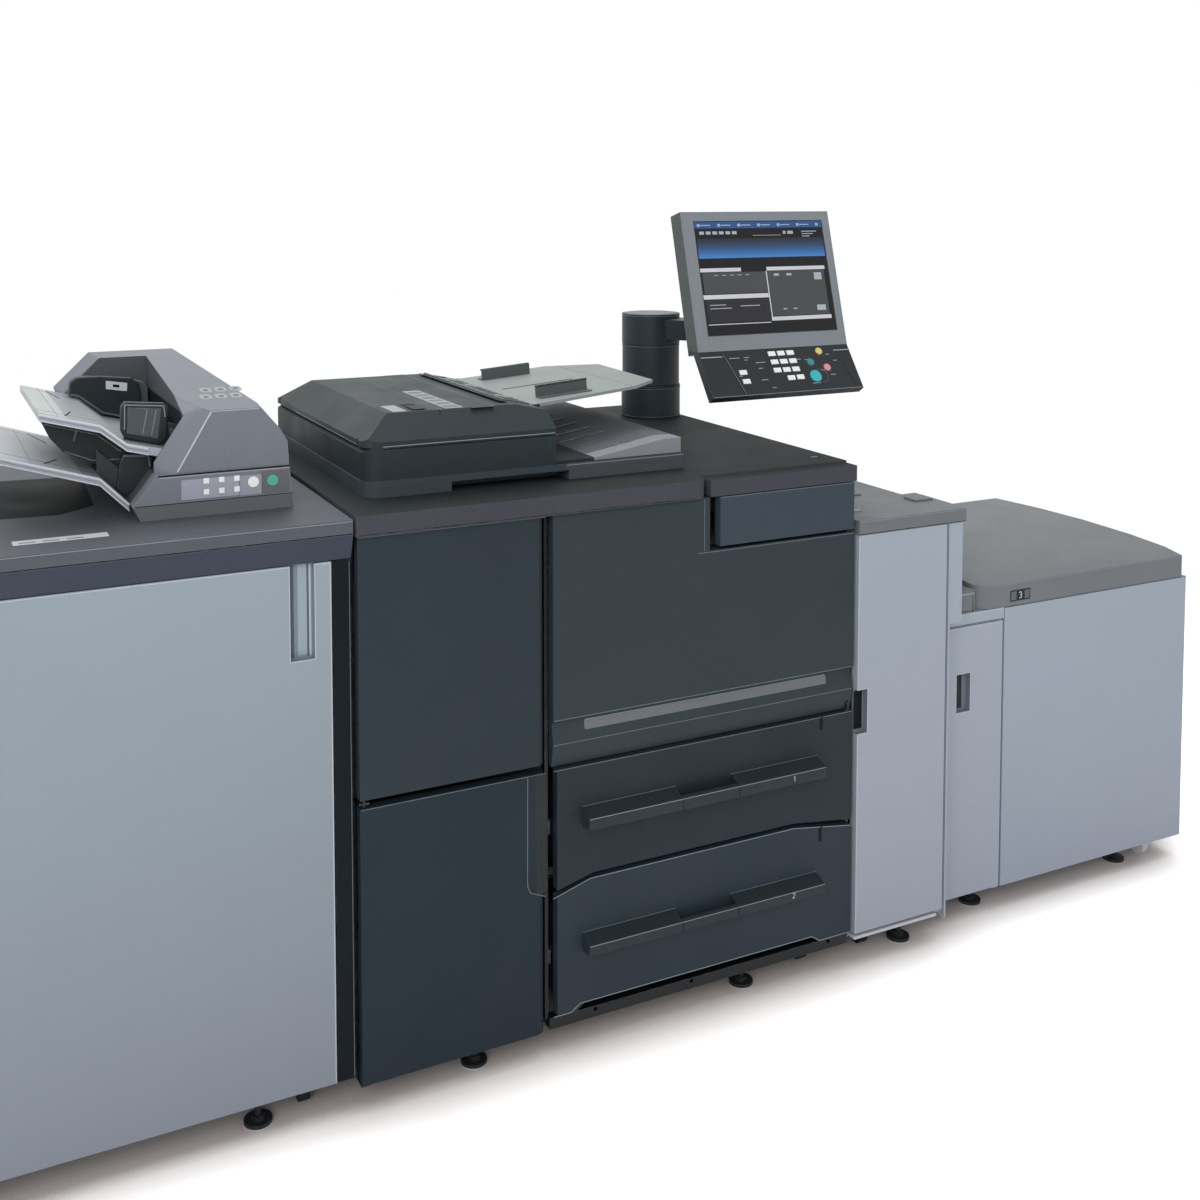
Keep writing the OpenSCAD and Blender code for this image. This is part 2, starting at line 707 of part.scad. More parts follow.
// A handle: two sloping wings, a grip bar and the floor of the finger gap
handle_x0 = front_x0 + wing_w_left * 2 / 3;
finger_share = 0.378;
finger_x0 = handle_x0 + handle_l * finger_share;
handle_slope = 10;
upper_handle_rise = 88;
lower_handle_rise = 96;
upper_handle_z = upper_front_z + upper_handle_rise;
lower_handle_z = lower_front_z + lower_handle_rise;
module handle(z, h) {
  for (x = [[handle_x0, finger_x0 - seat], [finger_x0 + finger_l + seat, handle_x0 + handle_l]])
    sweep_x(x[0], x[1]) polygon([[-seat, z], [-handle_reach, z + pin_r], [-handle_reach, z + h - handle_slope], [-seat, z + h]]);
  sweep_x(finger_x0, finger_x0 + finger_l)
    polygon([[grip_bar_t - handle_reach, z], [-handle_reach, z + pin_r], [-handle_reach, z + h - handle_slope], [grip_bar_t - handle_reach, z + h - handle_slope + pin_r]]);
  block([finger_x0, grip_bar_t - handle_reach + seat, z], [finger_x0 + finger_l, -seat, z + 2 * pin_r]);
}
module drawer_1_handle() { color("#2b3339") at_engine() handle(upper_handle_z, upper_handle_h); }
module drawer_2_handle() { color("#2b3339") at_engine() handle(lower_handle_z, lower_handle_h); }

module photoconductor_drum() {
  fly_y = shaft_y1 + shaft_r;
  color("#3f7d5c") at_engine() {
    rod_y(drum_x, drum_z, drum_r, roller_y0, roller_y1);
    rod_y(drum_x, drum_z, shaft_r, shaft_y0, fly_y + shaft_r);
    rod_y(drum_x, drum_z, flywheel_r, fly_y, fly_y + shaft_r);
  }
}
// The developer holds its sleeve roller beside the drum
module developer_unit() {
  x0 = drum_x + drum_r + seat;
  r = drum_r / 2;
  color("#54585c") at_engine() {
    block([x0 + r, bearing_end + seat, drum_z - drum_r], [x0 + 5 * r, bay_end - seat, drum_z + r]);
    rod_y(x0 + r, drum_z, r, roller_y0, roller_y1);
  }
}
// The transfer roller stands under the drum
module transfer_unit() {
  r = drum_r / 3;
  top = drum_z - drum_r - seat;
  color("#54585c") at_engine() {
    block([drum_x - 2 * drum_r, bearing_end + seat, top - 4 * drum_r / 2], [drum_x + 2 * drum_r, bay_end - seat, top - r]);
    rod_y(drum_x, top - r, r, roller_y0, roller_y1);
  }
}
module fixing_roller(z) {
  rod_y(fixing_x, z, fixing_r, roller_y0, roller_y1);
  rod_y(fixing_x, z, shaft_r, shaft_y0, shaft_y1);
}
module fixing_heat_roller() { color("#a8543a") at_engine() fixing_roller(heat_z); }
module fixing_press_roller() { color("#3a3a3c") at_engine() fixing_roller(press_z); }

motor_r = 42;
motor_l = 70;
module main_motor() {
  x = drum_x + flywheel_r + 2 * motor_r;
  y = rear_plate_y + sheet_t + seat;
  color("#8d9194") at_engine() {
    block([x - motor_r * 3 / 2, y, drum_z - motor_r * 3 / 2], [x + motor_r * 3 / 2, y + sheet_t, drum_z + motor_r * 3 / 2]);
    rod_y(x, drum_z, motor_r, y + sheet_t - eps, y + motor_l);
    rod_y(x, drum_z, shaft_r, y + motor_l - eps, y + motor_l + shaft_r);
  }
}
module waste_toner_box() {
  x1 = mid_wall_x - 4 * shaft_r;
  y0 = frame_front + 2 * shaft_r;
  z1 = pan_top + left_door_w * 3 / 4;
  color("#d9dad4") at_engine() {
    block([side_in + 2 * shaft_r, y0, pan_top + seat], [x1, y0 + left_door_w, z1]);
    translate([x1 - 4 * shaft_r, y0 + 4 * shaft_r, z1 - eps]) cylinder(r = 2 * shaft_r, h = shaft_r + eps);
  }
}

// Places on the document feeder
feeder_x1 = feeder_left + feeder_w;
feeder_y1 = feeder_front + feeder_d;
feeder_z = worktop_z + seat;
base_top = worktop_z + feeder_base_h;
housing_x1 = feeder_left + housing_w;
housing_z = base_top + seat;
housing_top = housing_z + housing_h;
cover_z = housing_top + seat;
lid_axis_r = 9;
lid_axis_y = feeder_y1 + lid_axis_r * 4 / 3;
lid_axis_z = worktop_z + 2 * lid_axis_r + leaf_t / 2;
lug_w = 40;
lug_xs = [feeder_left + 1.5 * lug_w, feeder_x1 - 2.5 * lug_w];
small_pin_r = 2;
cover_axis_in = 4;
cover_axis_x = feeder_left + cover_axis_in;
cover_axis_z = cover_z + cover_axis_in;
cover_boss_l = 12;
boss_y = feeder_front + feeder_corner_r;
shell_t = 3;

module feeder_base() {
  recess_x0 = feeder_left + feeder_w / 4;
  recess_x1 = recess_x0 + lift_recess_w;
  step_z = worktop_z + lift_recess_h;
  color("#343d43") at_engine() {
    corner_block([feeder_left, feeder_front, step_z], [feeder_x1, feeder_y1, base_top], feeder_corner_r);
    corner_block([feeder_left, feeder_front, feeder_z], [recess_x0, feeder_y1, step_z - seat], feeder_corner_r);
    block([recess_x1, feeder_front, feeder_z], [feeder_x1, feeder_y1, step_z - seat]);
    block([recess_x0 + seat, feeder_front + 1.2 * lug_w, feeder_z], [recess_x1 - seat, feeder_y1, step_z - seat]);
    for (x = lug_xs) difference() {
      block([x, feeder_y1 - eps, lid_axis_z - lid_axis_r], [x + lug_w, lid_axis_y + lid_axis_r / 2, base_top - leaf_t]);
      rod_x(lid_axis_y, lid_axis_z, pin_r + run_fit, x - eps, x + lug_w + eps);
    }
  }
}
// Two brackets on the worktop hold the pins that the feeder turns on
module feeder_hinges() {
  cheek = 2 * sheet_t;
  y0 = lid_axis_y - lid_axis_r * 3 / 4;
  y1 = lid_axis_y + 2 * lid_axis_r;
  color("#6a6f73") at_engine() for (x = lug_xs) {
    block([x - seat - cheek, y0, feeder_z], [x + lug_w + seat + cheek, y1, feeder_z + sheet_t]);
    for (c = [x - seat - cheek, x + lug_w + seat])
      block([c, y0, feeder_z], [c + cheek, y1, lid_axis_z + lid_axis_r]);
    rod_x(lid_axis_y, lid_axis_z, pin_r, x - seat - eps, x + lug_w + seat + eps);
  }
}
// Places of the pickup roller and the input tray's pivots
pickup_r = 14;
pickup_shaft_r = 4;
pickup_x = housing_x1 - 1.7 * pickup_r;
pickup_z = cover_z + pickup_r + leaf_t * 2;
arm_t = 6;
tray_y0 = feeder_front + feeder_d / 5;
tray_d = 405;
tray_y1 = tray_y0 + tray_d;
tray_tube_r = 6;
tray_axis_x = housing_x1 + 2 * tray_tube_r + leaf_t / 2;
tray_axis_z = housing_top + 5 * tray_tube_r + leaf_t / 2;
module feeder_housing() {
  slot_wall = 2 * arm_t;
  chamfer = 3 * cover_axis_in;
  color("#363f45") at_engine() difference() {
    union() {
      intersection() {
        sweep_y(feeder_front, feeder_y1) polygon([
          [feeder_left, housing_z], [housing_x1, housing_z], [housing_x1, housing_top],
          [feeder_left + chamfer, housing_top], [feeder_left, housing_top - chamfer * 3 / 4]]);
        corner_block([feeder_left, feeder_front, housing_z - eps], [housing_x1 + eps, feeder_y1, cover_z], feeder_corner_r);
      }
      for (y = [tray_y0 - arm_t - seat, tray_y1 + seat]) {
        block([housing_x1 - eps, y, housing_z + slot_wall], [tray_axis_x + tray_tube_r, y + arm_t, housing_top]);
        block([housing_x1 + leaf_t, y, housing_top - eps], [tray_axis_x + tray_tube_r, y + arm_t, tray_axis_z + tray_tube_r]);
      }
      rod_y(tray_axis_x, tray_axis_z, pin_r, tray_y0 - eps - seat, tray_y0 + pin_l);
      rod_y(tray_axis_x, tray_axis_z, pin_r, tray_y1 - pin_l, tray_y1 + seat + eps);
      for (y = [tray_y0 - 3 * arm_t, tray_y1 + 2 * arm_t])
        block([pickup_x - 2 * arm_t, y, housing_top - eps], [pickup_x + 2 * arm_t, y + arm_t, pickup_z + 2 * pickup_shaft_r]);
      cover_lugs();
    }
    block([feeder_left + housing_w / 3, feeder_front + slot_wall * 4, housing_z + slot_wall],
          [housing_x1 + eps, feeder_y1 - slot_wall * 5, housing_top - slot_wall]);
    rod_y(pickup_x, pickup_z, pickup_shaft_r + run_fit, feeder_front, feeder_y1);
  }
}
// Lugs on the housing whose pins carry the cover
module cover_lugs() {
  w = cover_boss_l / 2;
  y_front = boss_y + cover_boss_l;
  y_rear = feeder_y1 - shell_t - cover_boss_l;
  for (y = [y_front + seat, y_rear - seat - w])
    block([feeder_left + shell_t + seat, y, housing_top - 2 * cover_axis_in], [feeder_left + 2 * cover_axis_in + eps, y + w, cover_axis_z + pin_r]);
  rod_y(cover_axis_x + leaf_t / 2, cover_axis_z, small_pin_r, y_front - w, y_front + seat + eps);
  rod_y(cover_axis_x + leaf_t / 2, cover_axis_z, small_pin_r, y_rear - seat - eps, y_rear + w);
}
// A low pyramid with a flat top: one wall profile each way, crossed
module cover_solid(inset, drop) {
  slope = cover_slope_w;
  x0 = feeder_left + inset;
  x1 = housing_x1 + (inset == 0 ? 0 : eps);
  y0 = feeder_front + inset;
  y1 = feeder_y1 - inset;
  rim = cover_rim_h - drop;
  top = feeder_cover_h - drop;
  z0 = cover_z - (inset == 0 ? 0 : eps);
  intersection() {
    sweep_y(y0, y1) polygon([[x0, z0], [x1, z0], [x1, cover_z + top * 3 / 4], [x1 - slope, cover_z + top],
      [x0 + slope, cover_z + top], [x0, cover_z + rim]]);
    sweep_x(x0, x1) polygon([[y0, z0], [y1, z0], [y1, cover_z + rim], [y1 - slope, cover_z + top],
      [y0 + slope, cover_z + top], [y0, cover_z + rim]]);
    corner_block([x0, y0, z0 - eps], [x1 + eps, y1, cover_z + top + eps], feeder_corner_r - inset);
  }
}
module feeder_cover() {
  w = cover_boss_l / 2;
  boss = 2 * cover_axis_in;
  color("#3a4348") at_engine() difference() {
    union() {
      difference() {
        cover_solid(0, 0);
        cover_solid(shell_t, shell_t);
        for (y = [boss_y + cover_boss_l, feeder_y1 - shell_t - cover_boss_l - w - 2 * seat])
          block([feeder_left - eps, y, cover_z - eps], [feeder_left + boss, y + w + 2 * seat, cover_z + cover_boss_l]);
      }
      for (y = [boss_y - eps, feeder_y1 - shell_t - cover_boss_l])
        block([feeder_left + eps, y, cover_z], [feeder_left + boss + eps, y + cover_boss_l + eps, cover_z + boss + eps]);
    }
    rod_y(cover_axis_x + leaf_t / 2, cover_axis_z, small_pin_r + run_fit, boss_y + w - seat, boss_y + cover_boss_l + 2 * eps);
    rod_y(cover_axis_x + leaf_t / 2, cover_axis_z, small_pin_r + run_fit, feeder_y1 - shell_t - cover_boss_l - 2 * eps, feeder_y1 - shell_t - w + seat);
  }
}
module feeder_pickup_roller() {
  mid = (tray_y0 + tray_y1) / 2;
  color("#8f9396") at_engine() {
    rod_y(pickup_x, pickup_z, pickup_shaft_r, tray_y0 - 3 * arm_t - eps, tray_y1 + 3 * arm_t + eps);
    for (y = [mid - 4 * pickup_r, mid + 2 * pickup_r]) rod_y(pickup_x, pickup_z, pickup_r, y, y + 2 * pickup_r);
  }
}
// The tray and its guides are drawn from the tray's pivot, then sloped
tray_outline_shares = [[0, 0], [0.76, 0.06], [0.95, 0.15], [1, 0.82], [0.68, 1], [0, 1]];
module on_tray() { at_engine() translate([tray_axis_x, tray_y0, tray_axis_z]) rotate([0, -input_slope, 0]) children(); }
module feeder_input_tray() {
  end = pin_l + seat;
  color("#5f6868") on_tray() difference() {
    union() {
      linear_extrude(input_tray_t) difference() {
        polygon([for (s = tray_outline_shares) [s[0] * input_tray_w, s[1] * tray_d]]);
      }
      translate([0, tray_d, 0]) rotate([90, 0, 0]) cylinder(r = tray_tube_r, h = tray_d);
    }
    for (y = [-eps, tray_d - end]) translate([0, y + end + eps, 0]) rotate([90, 0, 0]) cylinder(r = pin_r + run_fit, h = end + eps);
  }
}
guide_l = 110;
guide_foot = 26;
guide_x0 = 30;
module tray_guide(y0, up_y) {
  z0 = input_tray_t + seat;
  block([guide_x0, y0, z0], [guide_x0 + guide_l, y0 + guide_foot, z0 + leaf_t]);
  block([guide_x0, up_y, z0], [guide_x0 + guide_l, up_y + sheet_t, z0 + guide_h]);
}
guide_front_y = 40;
module feeder_guide_front() { color("#9aa3a5") on_tray() tray_guide(guide_front_y, guide_front_y + guide_foot - sheet_t); }
module feeder_guide_rear() {
  y = tray_d - guide_front_y - guide_foot;
  color("#9aa3a5") on_tray() tray_guide(y, y);
}
// The plate that finished originals fall on rises to the right
module feeder_output_plate() {
  x0 = housing_x1 + seat;
  z0 = base_top + seat;
  low = z0 + arm_t;
  high = z0 + lift_recess_h + 2 * arm_t;
  color("#85868d") at_engine() sweep_y(feeder_front + arm_t, tray_y1)
    polygon([[x0, z0], [feeder_x1 - leaf_t, z0], [feeder_x1 - leaf_t, high], [feeder_x1 - lug_w, high],
      [x0 + 2 * lug_w, low], [x0, low]]);
}

// Places of the post, the arm's end and the screen's middle
post_x = engine_w - post_r - edge_in;
post_y = 690;
screen_out = 67;
// How far the screen sits to the right and up in its bezel
screen_side = 5;
screen_up = 7;
screen_x = engine_w + screen_out;
screen_y = 420;
screen_z = worktop_z + screen_rise;
pivot_back = 54;
pivot_down = 40;
pivot_r = 5;
pivot_y = screen_y + pivot_back * cos(panel_tilt) - pivot_down * sin(panel_tilt);
pivot_z = screen_z - pivot_back * sin(panel_tilt) - pivot_down * cos(panel_tilt);
arm_z = worktop_z + post_h + seat;
spigot_r = 20;
spigot_h = 48;
fork_w = 30;
lug_t = 15;
module panel_post() {
  groove = leaf_t;
  color("#333a40") at_engine() translate([post_x, post_y, worktop_z + seat]) {
    cylinder(r = post_r + groove, h = post_collar_h);
    cylinder(r = post_r - groove, h = post_h - seat);
    translate([0, 0, post_collar_h + groove]) cylinder(r = post_r, h = post_h - seat - post_collar_h - groove);
    cylinder(r = spigot_r, h = post_h + spigot_h);
  }
}
module panel_arm() {
  dx = screen_x - post_x;
  end_y = pivot_y + fork_w;
  reach = norm([dx, end_y - post_y]);
  beam_z0 = arm_h / 6;
  nose = pivot_r * 3 / 2;
  color("#3a4246") at_engine() difference() {
    union() {
      translate([post_x, post_y, arm_z]) {
        cylinder(r = post_r + leaf_t / 2, h = arm_h);
        translate([0, 0, beam_z0]) rotate([0, 0, atan2(end_y - post_y, dx)])
          block([0, -arm_w / 2, 0], [reach, arm_w / 2, arm_h - 2 * beam_z0]);
      }
      block([screen_x - fork_w * 2 / 3, end_y - fork_w / 3, arm_z + beam_z0], [screen_x + fork_w * 2 / 3, end_y + fork_w, pivot_z + fork_w / 2]);
      block([screen_x - fork_w / 2, pivot_y - nose, pivot_z - nose], [screen_x + fork_w / 2, end_y, pivot_z + nose]);
      rod_x(pivot_y, pivot_z, pivot_r, screen_x - fork_w / 2 - lug_t, screen_x + fork_w / 2 + lug_t);
    }
    translate([post_x, post_y, arm_z - eps]) cylinder(r = spigot_r + run_fit, h = spigot_h + eps + seat);
  }
}
module on_screen() { at_engine() translate([screen_x, screen_y, screen_z]) rotate([-panel_tilt, 0, 0]) children(); }
// The key tray hangs from the screen part's lower front edge
tray_top_y = screen_y - panel_h / 2 * sin(panel_tilt);
tray_top_z = screen_z - panel_h / 2 * cos(panel_tilt);
module on_keys() { at_engine() translate([screen_x, tray_top_y, tray_top_z]) rotate([-key_tilt, 0, 0]) children(); }
module panel_housing() {
  screen_d = 2 * sheet_t;
  back = panel_t - eps;
  color("#84868b") difference() {
    union() {
      on_screen() difference() {
        block([-panel_w / 2, 0, -panel_h / 2], [panel_w / 2, panel_t, panel_h / 2]);
        block([screen_side - screen_w / 2, -eps, screen_up - screen_h / 2], [screen_side + screen_w / 2, screen_d, screen_up + screen_h / 2]);
      }
      on_screen() for (x = [-fork_w / 2 - seat - lug_t, fork_w / 2 + seat])
        block([x, back, -pivot_down - 2 * pivot_r], [x + lug_t, pivot_back + 2 * pivot_r, 2 * pivot_r - pivot_down]);
      on_keys() difference() {
        block([-panel_w / 2, 0, -key_tray_l], [panel_w / 2, key_tray_t, key_tray_t / 2]);
        key_pockets();
      }
    }
    at_engine() rod_x(pivot_y, pivot_z, pivot_r + run_fit, screen_x - fork_w - lug_t, screen_x + fork_w + lug_t);
  }
}
module panel_screen() {
  color("#1c2b4a") on_screen()
    block([screen_side + seat - screen_w / 2, leaf_t / 2, screen_up + seat - screen_h / 2],
          [screen_side + screen_w / 2 - seat, 2 * sheet_t - seat, screen_up + screen_h / 2 - seat]);
}
// Keys: places across and down the tray as shares of its sizes
number_key_shares = [
  for (row = [0:2], column = [0:2]) [0.467 + 0.062 * column, 0.108 + 0.187 * row],
  [0.541, 0.67], [0.603, 0.665]
];
white_key_shares = [[0.241, 0.486], [0.244, 0.686]];
small_key_shares = [[0.787, 0.11], [0.704, 0.347]];
start_key_share = [0.706, 0.667];
stop_key_share = [0.804, 0.49];
key_w = 18;
key_h = 11;
small_key_r = 8;
start_key_r = 14;
key_proud = 2;
key_in = 3.5;
pocket_in = 6;
function key_place(s) = [(s[0] - 0.5) * panel_w, 0, -s[1] * key_tray_l];
module square_key(s, grow, y0, y1) {
  p = key_place(s);
  block(p + [-key_w / 2 - grow, y0, -key_h / 2 - grow], p + [key_w / 2 + grow, y1, key_h / 2 + grow]);
}
module round_key(s, r, y0, y1) {
  p = key_place(s);
  rod_y(p[0], p[2], r, y0, y1);
}
module key_pockets() {
  for (s = concat(number_key_shares, white_key_shares)) square_key(s, seat, -eps, pocket_in);
  for (s = concat(small_key_shares, [stop_key_share])) round_key(s, small_key_r + seat, -eps, pocket_in);
  round_key(start_key_share, start_key_r + seat, -eps, pocket_in);
}
module number_keys() { color("#e6e9ea") on_keys() for (s = number_key_shares) square_key(s, 0, -key_proud, key_in); }
module function_keys() {
  color("#d9c46a") on_keys() {
    for (s = white_key_shares) square_key(s, 0, -key_proud, key_in);
    for (s = small_key_shares) round_key(s, small_key_r, -key_proud, key_in);
  }
}
module start_key() { color("#3fb6b8") on_keys() round_key(start_key_share, start_key_r, -key_proud, key_in); }
module stop_key() { color("#e08a93") on_keys() round_key(stop_key_share, small_key_r, -key_proud, key_in); }

// Places in the finishing unit
finisher_z = worktop_z - finisher_step;
fin_post_w = 30;
fin_face = finisher_set_back;
fin_front = fin_face + door_t + door_room;
fin_pan_top = finisher_door_z - door_gap;
fin_under = finisher_z - finisher_top_t;
fin_band_z = fin_under - fascia_h;
fin_door_top = fin_band_z - leaf_t;
fin_hinge_y = fin_face + hinge_y;
fin_left_hinge_x = edge_in + hinge_in;
fin_back = finisher_d - sheet_t;
exit_z = stack_z + 3 * door_t;
exit_h = 63;
// Place of the exit slot behind the frame's front
exit_in = 110;
exit_y0 = fin_front + exit_in;
exit_y1 = exit_y0 + stack_d;
exit_r = 16;
exit_shaft_r = 6;
exit_x = exit_r + sheet_t + seat;
inner_shelf_z = stack_z - 2 * door_t;
guide_post_w = 10;
stack_rise_share = 0.27;

module finisher_frame() {
  z0 = fin_pan_top + seat;
  y0 = fin_front;
  x1 = finisher_w - sheet_t;
  color("#7d868c") at_finisher() {
    block([0, y0, pan_z], [finisher_w, finisher_d, fin_pan_top]);
    block([x1, y0, z0], [finisher_w, finisher_d, fin_under]);
    block([sheet_t + seat, fin_back, z0], [x1 - seat, finisher_d, fin_under]);
    block([0, y0, z0], [sheet_t, finisher_d, exit_z]);
    block([0, y0, exit_z + exit_h], [sheet_t, finisher_d, fin_under]);
    block([0, y0, exit_z + seat], [sheet_t, exit_y0, exit_z + exit_h - seat]);
    block([0, exit_y1, exit_z + seat], [sheet_t, finisher_d, exit_z + exit_h - seat]);
    block([sheet_t + seat, y0, inner_shelf_z], [x1 - seat, fin_back - seat, inner_shelf_z + sheet_t]);
    exit_bearings();
    dock_hooks(finisher_w - eps, finisher_w + dock_gap - seat, dock_y);
    for (y = [exit_y0 + 2 * door_t, exit_y1 - 2 * door_t - guide_post_w])
      block([-guide_post_w, y, pan_z + 2 * door_t], [-seat, y + guide_post_w, fin_under - fascia_h]);
    block([edge_in, fin_hinge_y - pin_r, fin_pan_top - leaf_t], [fin_left_hinge_x + hinge_in, y0 + eps, fin_pan_top]);
    pin_z(fin_left_hinge_x, fin_hinge_y, fin_pan_top - leaf_t, finisher_door_z + pin_l);
    block([finisher_w - fin_post_w, fin_face + leaf_t, finisher_door_z], [finisher_w, y0 - seat, fin_door_top]);
  }
}
module exit_bearings() {
  mid = exit_z + exit_h / 2;
  for (y = [exit_y0, exit_y1 - 2 * exit_shaft_r]) difference() {
    block([sheet_t + seat, y, exit_z], [2 * exit_x, y + 2 * exit_shaft_r, exit_z + exit_h]);
    rod_y(exit_x, mid, exit_shaft_r + run_fit, y - eps, y + 2 * exit_shaft_r + eps);
  }
}
module exit_roller() {
  mid = exit_z + exit_h / 2;
  color("#3b3e40") at_finisher() {
    rod_y(exit_x, mid, exit_shaft_r, exit_y0 - exit_shaft_r, exit_y1 + exit_shaft_r);
    for (i = [1:3]) rod_y(exit_x, mid, exit_r, exit_y0 + i * stack_d / 4 - exit_r, exit_y0 + i * stack_d / 4 + exit_r);
  }
}
module stapler_unit() {
  z0 = inner_shelf_z + sheet_t + seat;
  x0 = 3 * exit_x;
  mid = (exit_y0 + exit_y1) / 2;
  color("#8f9496") at_finisher() difference() {
    block([x0, mid - 4 * door_t, z0], [x0 + 6 * door_t, mid + 4 * door_t, z0 + 4 * door_t]);
    block([x0 - eps, mid - 3 * door_t, z0 + 2 * door_t], [x0 + 3 * door_t, mid + 3 * door_t, z0 + 3 * door_t]);
  }
}
// The worktop carries the slanted band in front of it
module finisher_worktop() {
  color("#55595f") at_finisher() {
    sweep_x(0, finisher_w) polygon([
      [-worktop_lip / 2, finisher_z], [finisher_d, finisher_z], [finisher_d, fin_under + seat],
      [fin_front - seat, fin_under + seat], [fin_front - seat, fin_band_z], [fin_face, fin_band_z], [-worktop_lip / 2, fin_under]]);
    pin_z(fin_left_hinge_x, fin_hinge_y, fin_door_top - pin_l, fin_band_z + leaf_t);
  }
}
recess_x1 = finisher_w - 3 * door_t;
recess_x0 = recess_x1 - recess_w;
recess_z = fin_door_top - recess_h;
module finisher_door() {
  color("#98a3ad") at_finisher() difference() {
    block([edge_in, fin_face, finisher_door_z], [finisher_w - fin_post_w - leaf_t, fin_face + door_t, fin_door_top]);
    block([recess_x0, fin_face - eps, recess_z], [recess_x1, fin_face + recess_d, fin_door_top + eps]);
    for (z = [finisher_door_z - eps, fin_door_top - pin_l - seat])
      pin_bore_z(fin_left_hinge_x, fin_hinge_y, z, z + pin_l + seat + eps);
  }
}
// The tray slopes up and out, on two arms that run on the guide posts
module stack_tray() {
  t = 4 * sheet_t;
  x1 = -guide_post_w - seat;
  rise = tray_reach * stack_rise_share;
  color("#4a5157") at_finisher() {
    sweep_y(exit_y0, exit_y1) polygon([[x1, stack_z - t], [x1, stack_z], [-tray_reach, stack_z + rise], [-tray_reach, stack_z + rise - t]]);
    for (y = [exit_y0 + 2 * door_t, exit_y1 - 2 * door_t - guide_post_w])
      sweep_y(y, y + guide_post_w) polygon([[x1, stack_z - t + eps], [x1, stack_z - 4 * door_t], [x1 - t, stack_z - 4 * door_t],
        [-tray_reach / 2, stack_z + rise / 2 - t + eps]]);
  }
}

// Places of the post inserter on the finishing unit's worktop
ins_z = finisher_z + seat;
ins_right_in = 61;
ins_x1 = finisher_w - ins_right_in;
ins_x0 = ins_x1 - inserter_w;
ins_y0 = 130;
ins_y1 = ins_y0 + inserter_d;
ins_base_top = finisher_z + inserter_base_h;
ins_top = finisher_z + inserter_h;
ins_cheek = 34;
ins_rear_w = 50;
ins_lip = 6;
hood_h = ins_top - ins_base_top;
// The hood's outlines in front, behind its slanted left edge and at its back
hood_front_shares = [[0.234, 0], [0.459, 0.846], [0.791, 0.846], [0.922, 0.521], [0.971, 0.333], [0.98, 0]];
hood_edge_shares = [[0.11, 0], [0.11, 0.137], [0.311, 0.769], [0.402, 0.88], [0.791, 0.88]];
hood_back_shares = [[-0.135, -0.6], [-0.344, 0.812], [-0.09, 1.333], [0.529, 1.333], [0.98, 0.513], [0.98, 0]];
hood_open_share = 0.3;
function hood_points(shares) = [for (s = shares) [ins_x0 + s[0] * inserter_w, ins_base_top + s[1] * hood_h]];
module hood_outline(shares, y) { sweep_y(y, y + eps) polygon(hood_points(shares)); }
module inserter_housing() {
  open_y1 = ins_y1 - ins_rear_w;
  color("#74767c") at_finisher() {
    difference() {
      sweep_y(ins_y0, ins_y1)
        polygon([[ins_x0, ins_z], [ins_x1, ins_z], [ins_x1 - ins_lip, ins_base_top], [ins_x0 + 4 * ins_lip, ins_base_top],
          [ins_x0 - 2 * ins_lip, finisher_z + 4 * ins_lip]]);
      inserter_key_shapes(seat, ins_y0 - eps, ins_y0 + pocket_in);
    }
    difference() {
      hull() {
        hood_outline(hood_front_shares, ins_y0 + ins_lip);
        hood_outline(hood_edge_shares, ins_y0 + 5 * ins_lip);
        hood_outline(hood_back_shares, ins_y1 - eps);
      }
      block([ins_x0 - inserter_w, ins_y0 + ins_cheek, finisher_z], [ins_x0 + inserter_w * hood_open_share, open_y1, ins_top + hood_h]);
    }
  }
}
// Places of the keys, as shares of the console's width and base height
ins_small_shares = [for (i = [0:2], j = [0.55, 0.8]) [0.42 + 0.1 * i, j]];
ins_round_share = [0.73, 0.68];
ins_start_share = [0.86, 0.68];
ins_key_r = 9;
ins_key_w = 9;
module inserter_key_shapes(grow, y0, y1) {
  half = ins_key_w / 2 + grow;
  for (s = ins_small_shares) {
    x = ins_x0 + s[0] * inserter_w;
    z = finisher_z + s[1] * inserter_base_h;
    block([x - half, y0, z - half], [x + half, y1, z + half]);
  }
  for (s = [ins_round_share, ins_start_share])
    rod_y(ins_x0 + s[0] * inserter_w, finisher_z + s[1] * inserter_base_h, ins_key_r + grow, y0, y1);
}
// Six small keys, a round key and a round start and stop key
module inserter_keys() {
  color("#dfe3e4") at_finisher() inserter_key_shapes(0, ins_y0 - leaf_t / 2, ins_y0 + key_in);
}
// Two sheet trays, one over the other, that step down to the hood, with side fences
upper_tray_shares = [[-0.59, 0.932], [-0.221, 0.718], [-0.057, 0.436], [0.295, 0.256]];
lower_tray_shares = [[-0.824, 0.385], [-0.23, -0.009], [-0.0504, -0.393]];
module sheet_tray(shares) {
  y0 = ins_y0 + ins_cheek + seat;
  y1 = ins_y1 - ins_rear_w - seat;
  top = hood_points(shares);
  last = len(shares) - 1;
  sweep_y(y0, y1) polygon(concat(top, [for (i = [last:-1:0]) top[i] - [0, sheet_tray_t]]));
  for (y = [y0 + 2 * door_t, y1 - 2 * door_t]) sweep_y(y, y + sheet_t)
    polygon([top[last - 1] + [0, seat], top[last] + [0, seat], top[last] + [0, 2 * door_t], top[last - 1] + [0, 2 * door_t]]);
}
module inserter_trays() {
  color("#a9adb2") at_finisher() {
    sheet_tray(upper_tray_shares);
    sheet_tray(lower_tray_shares);
  }
}

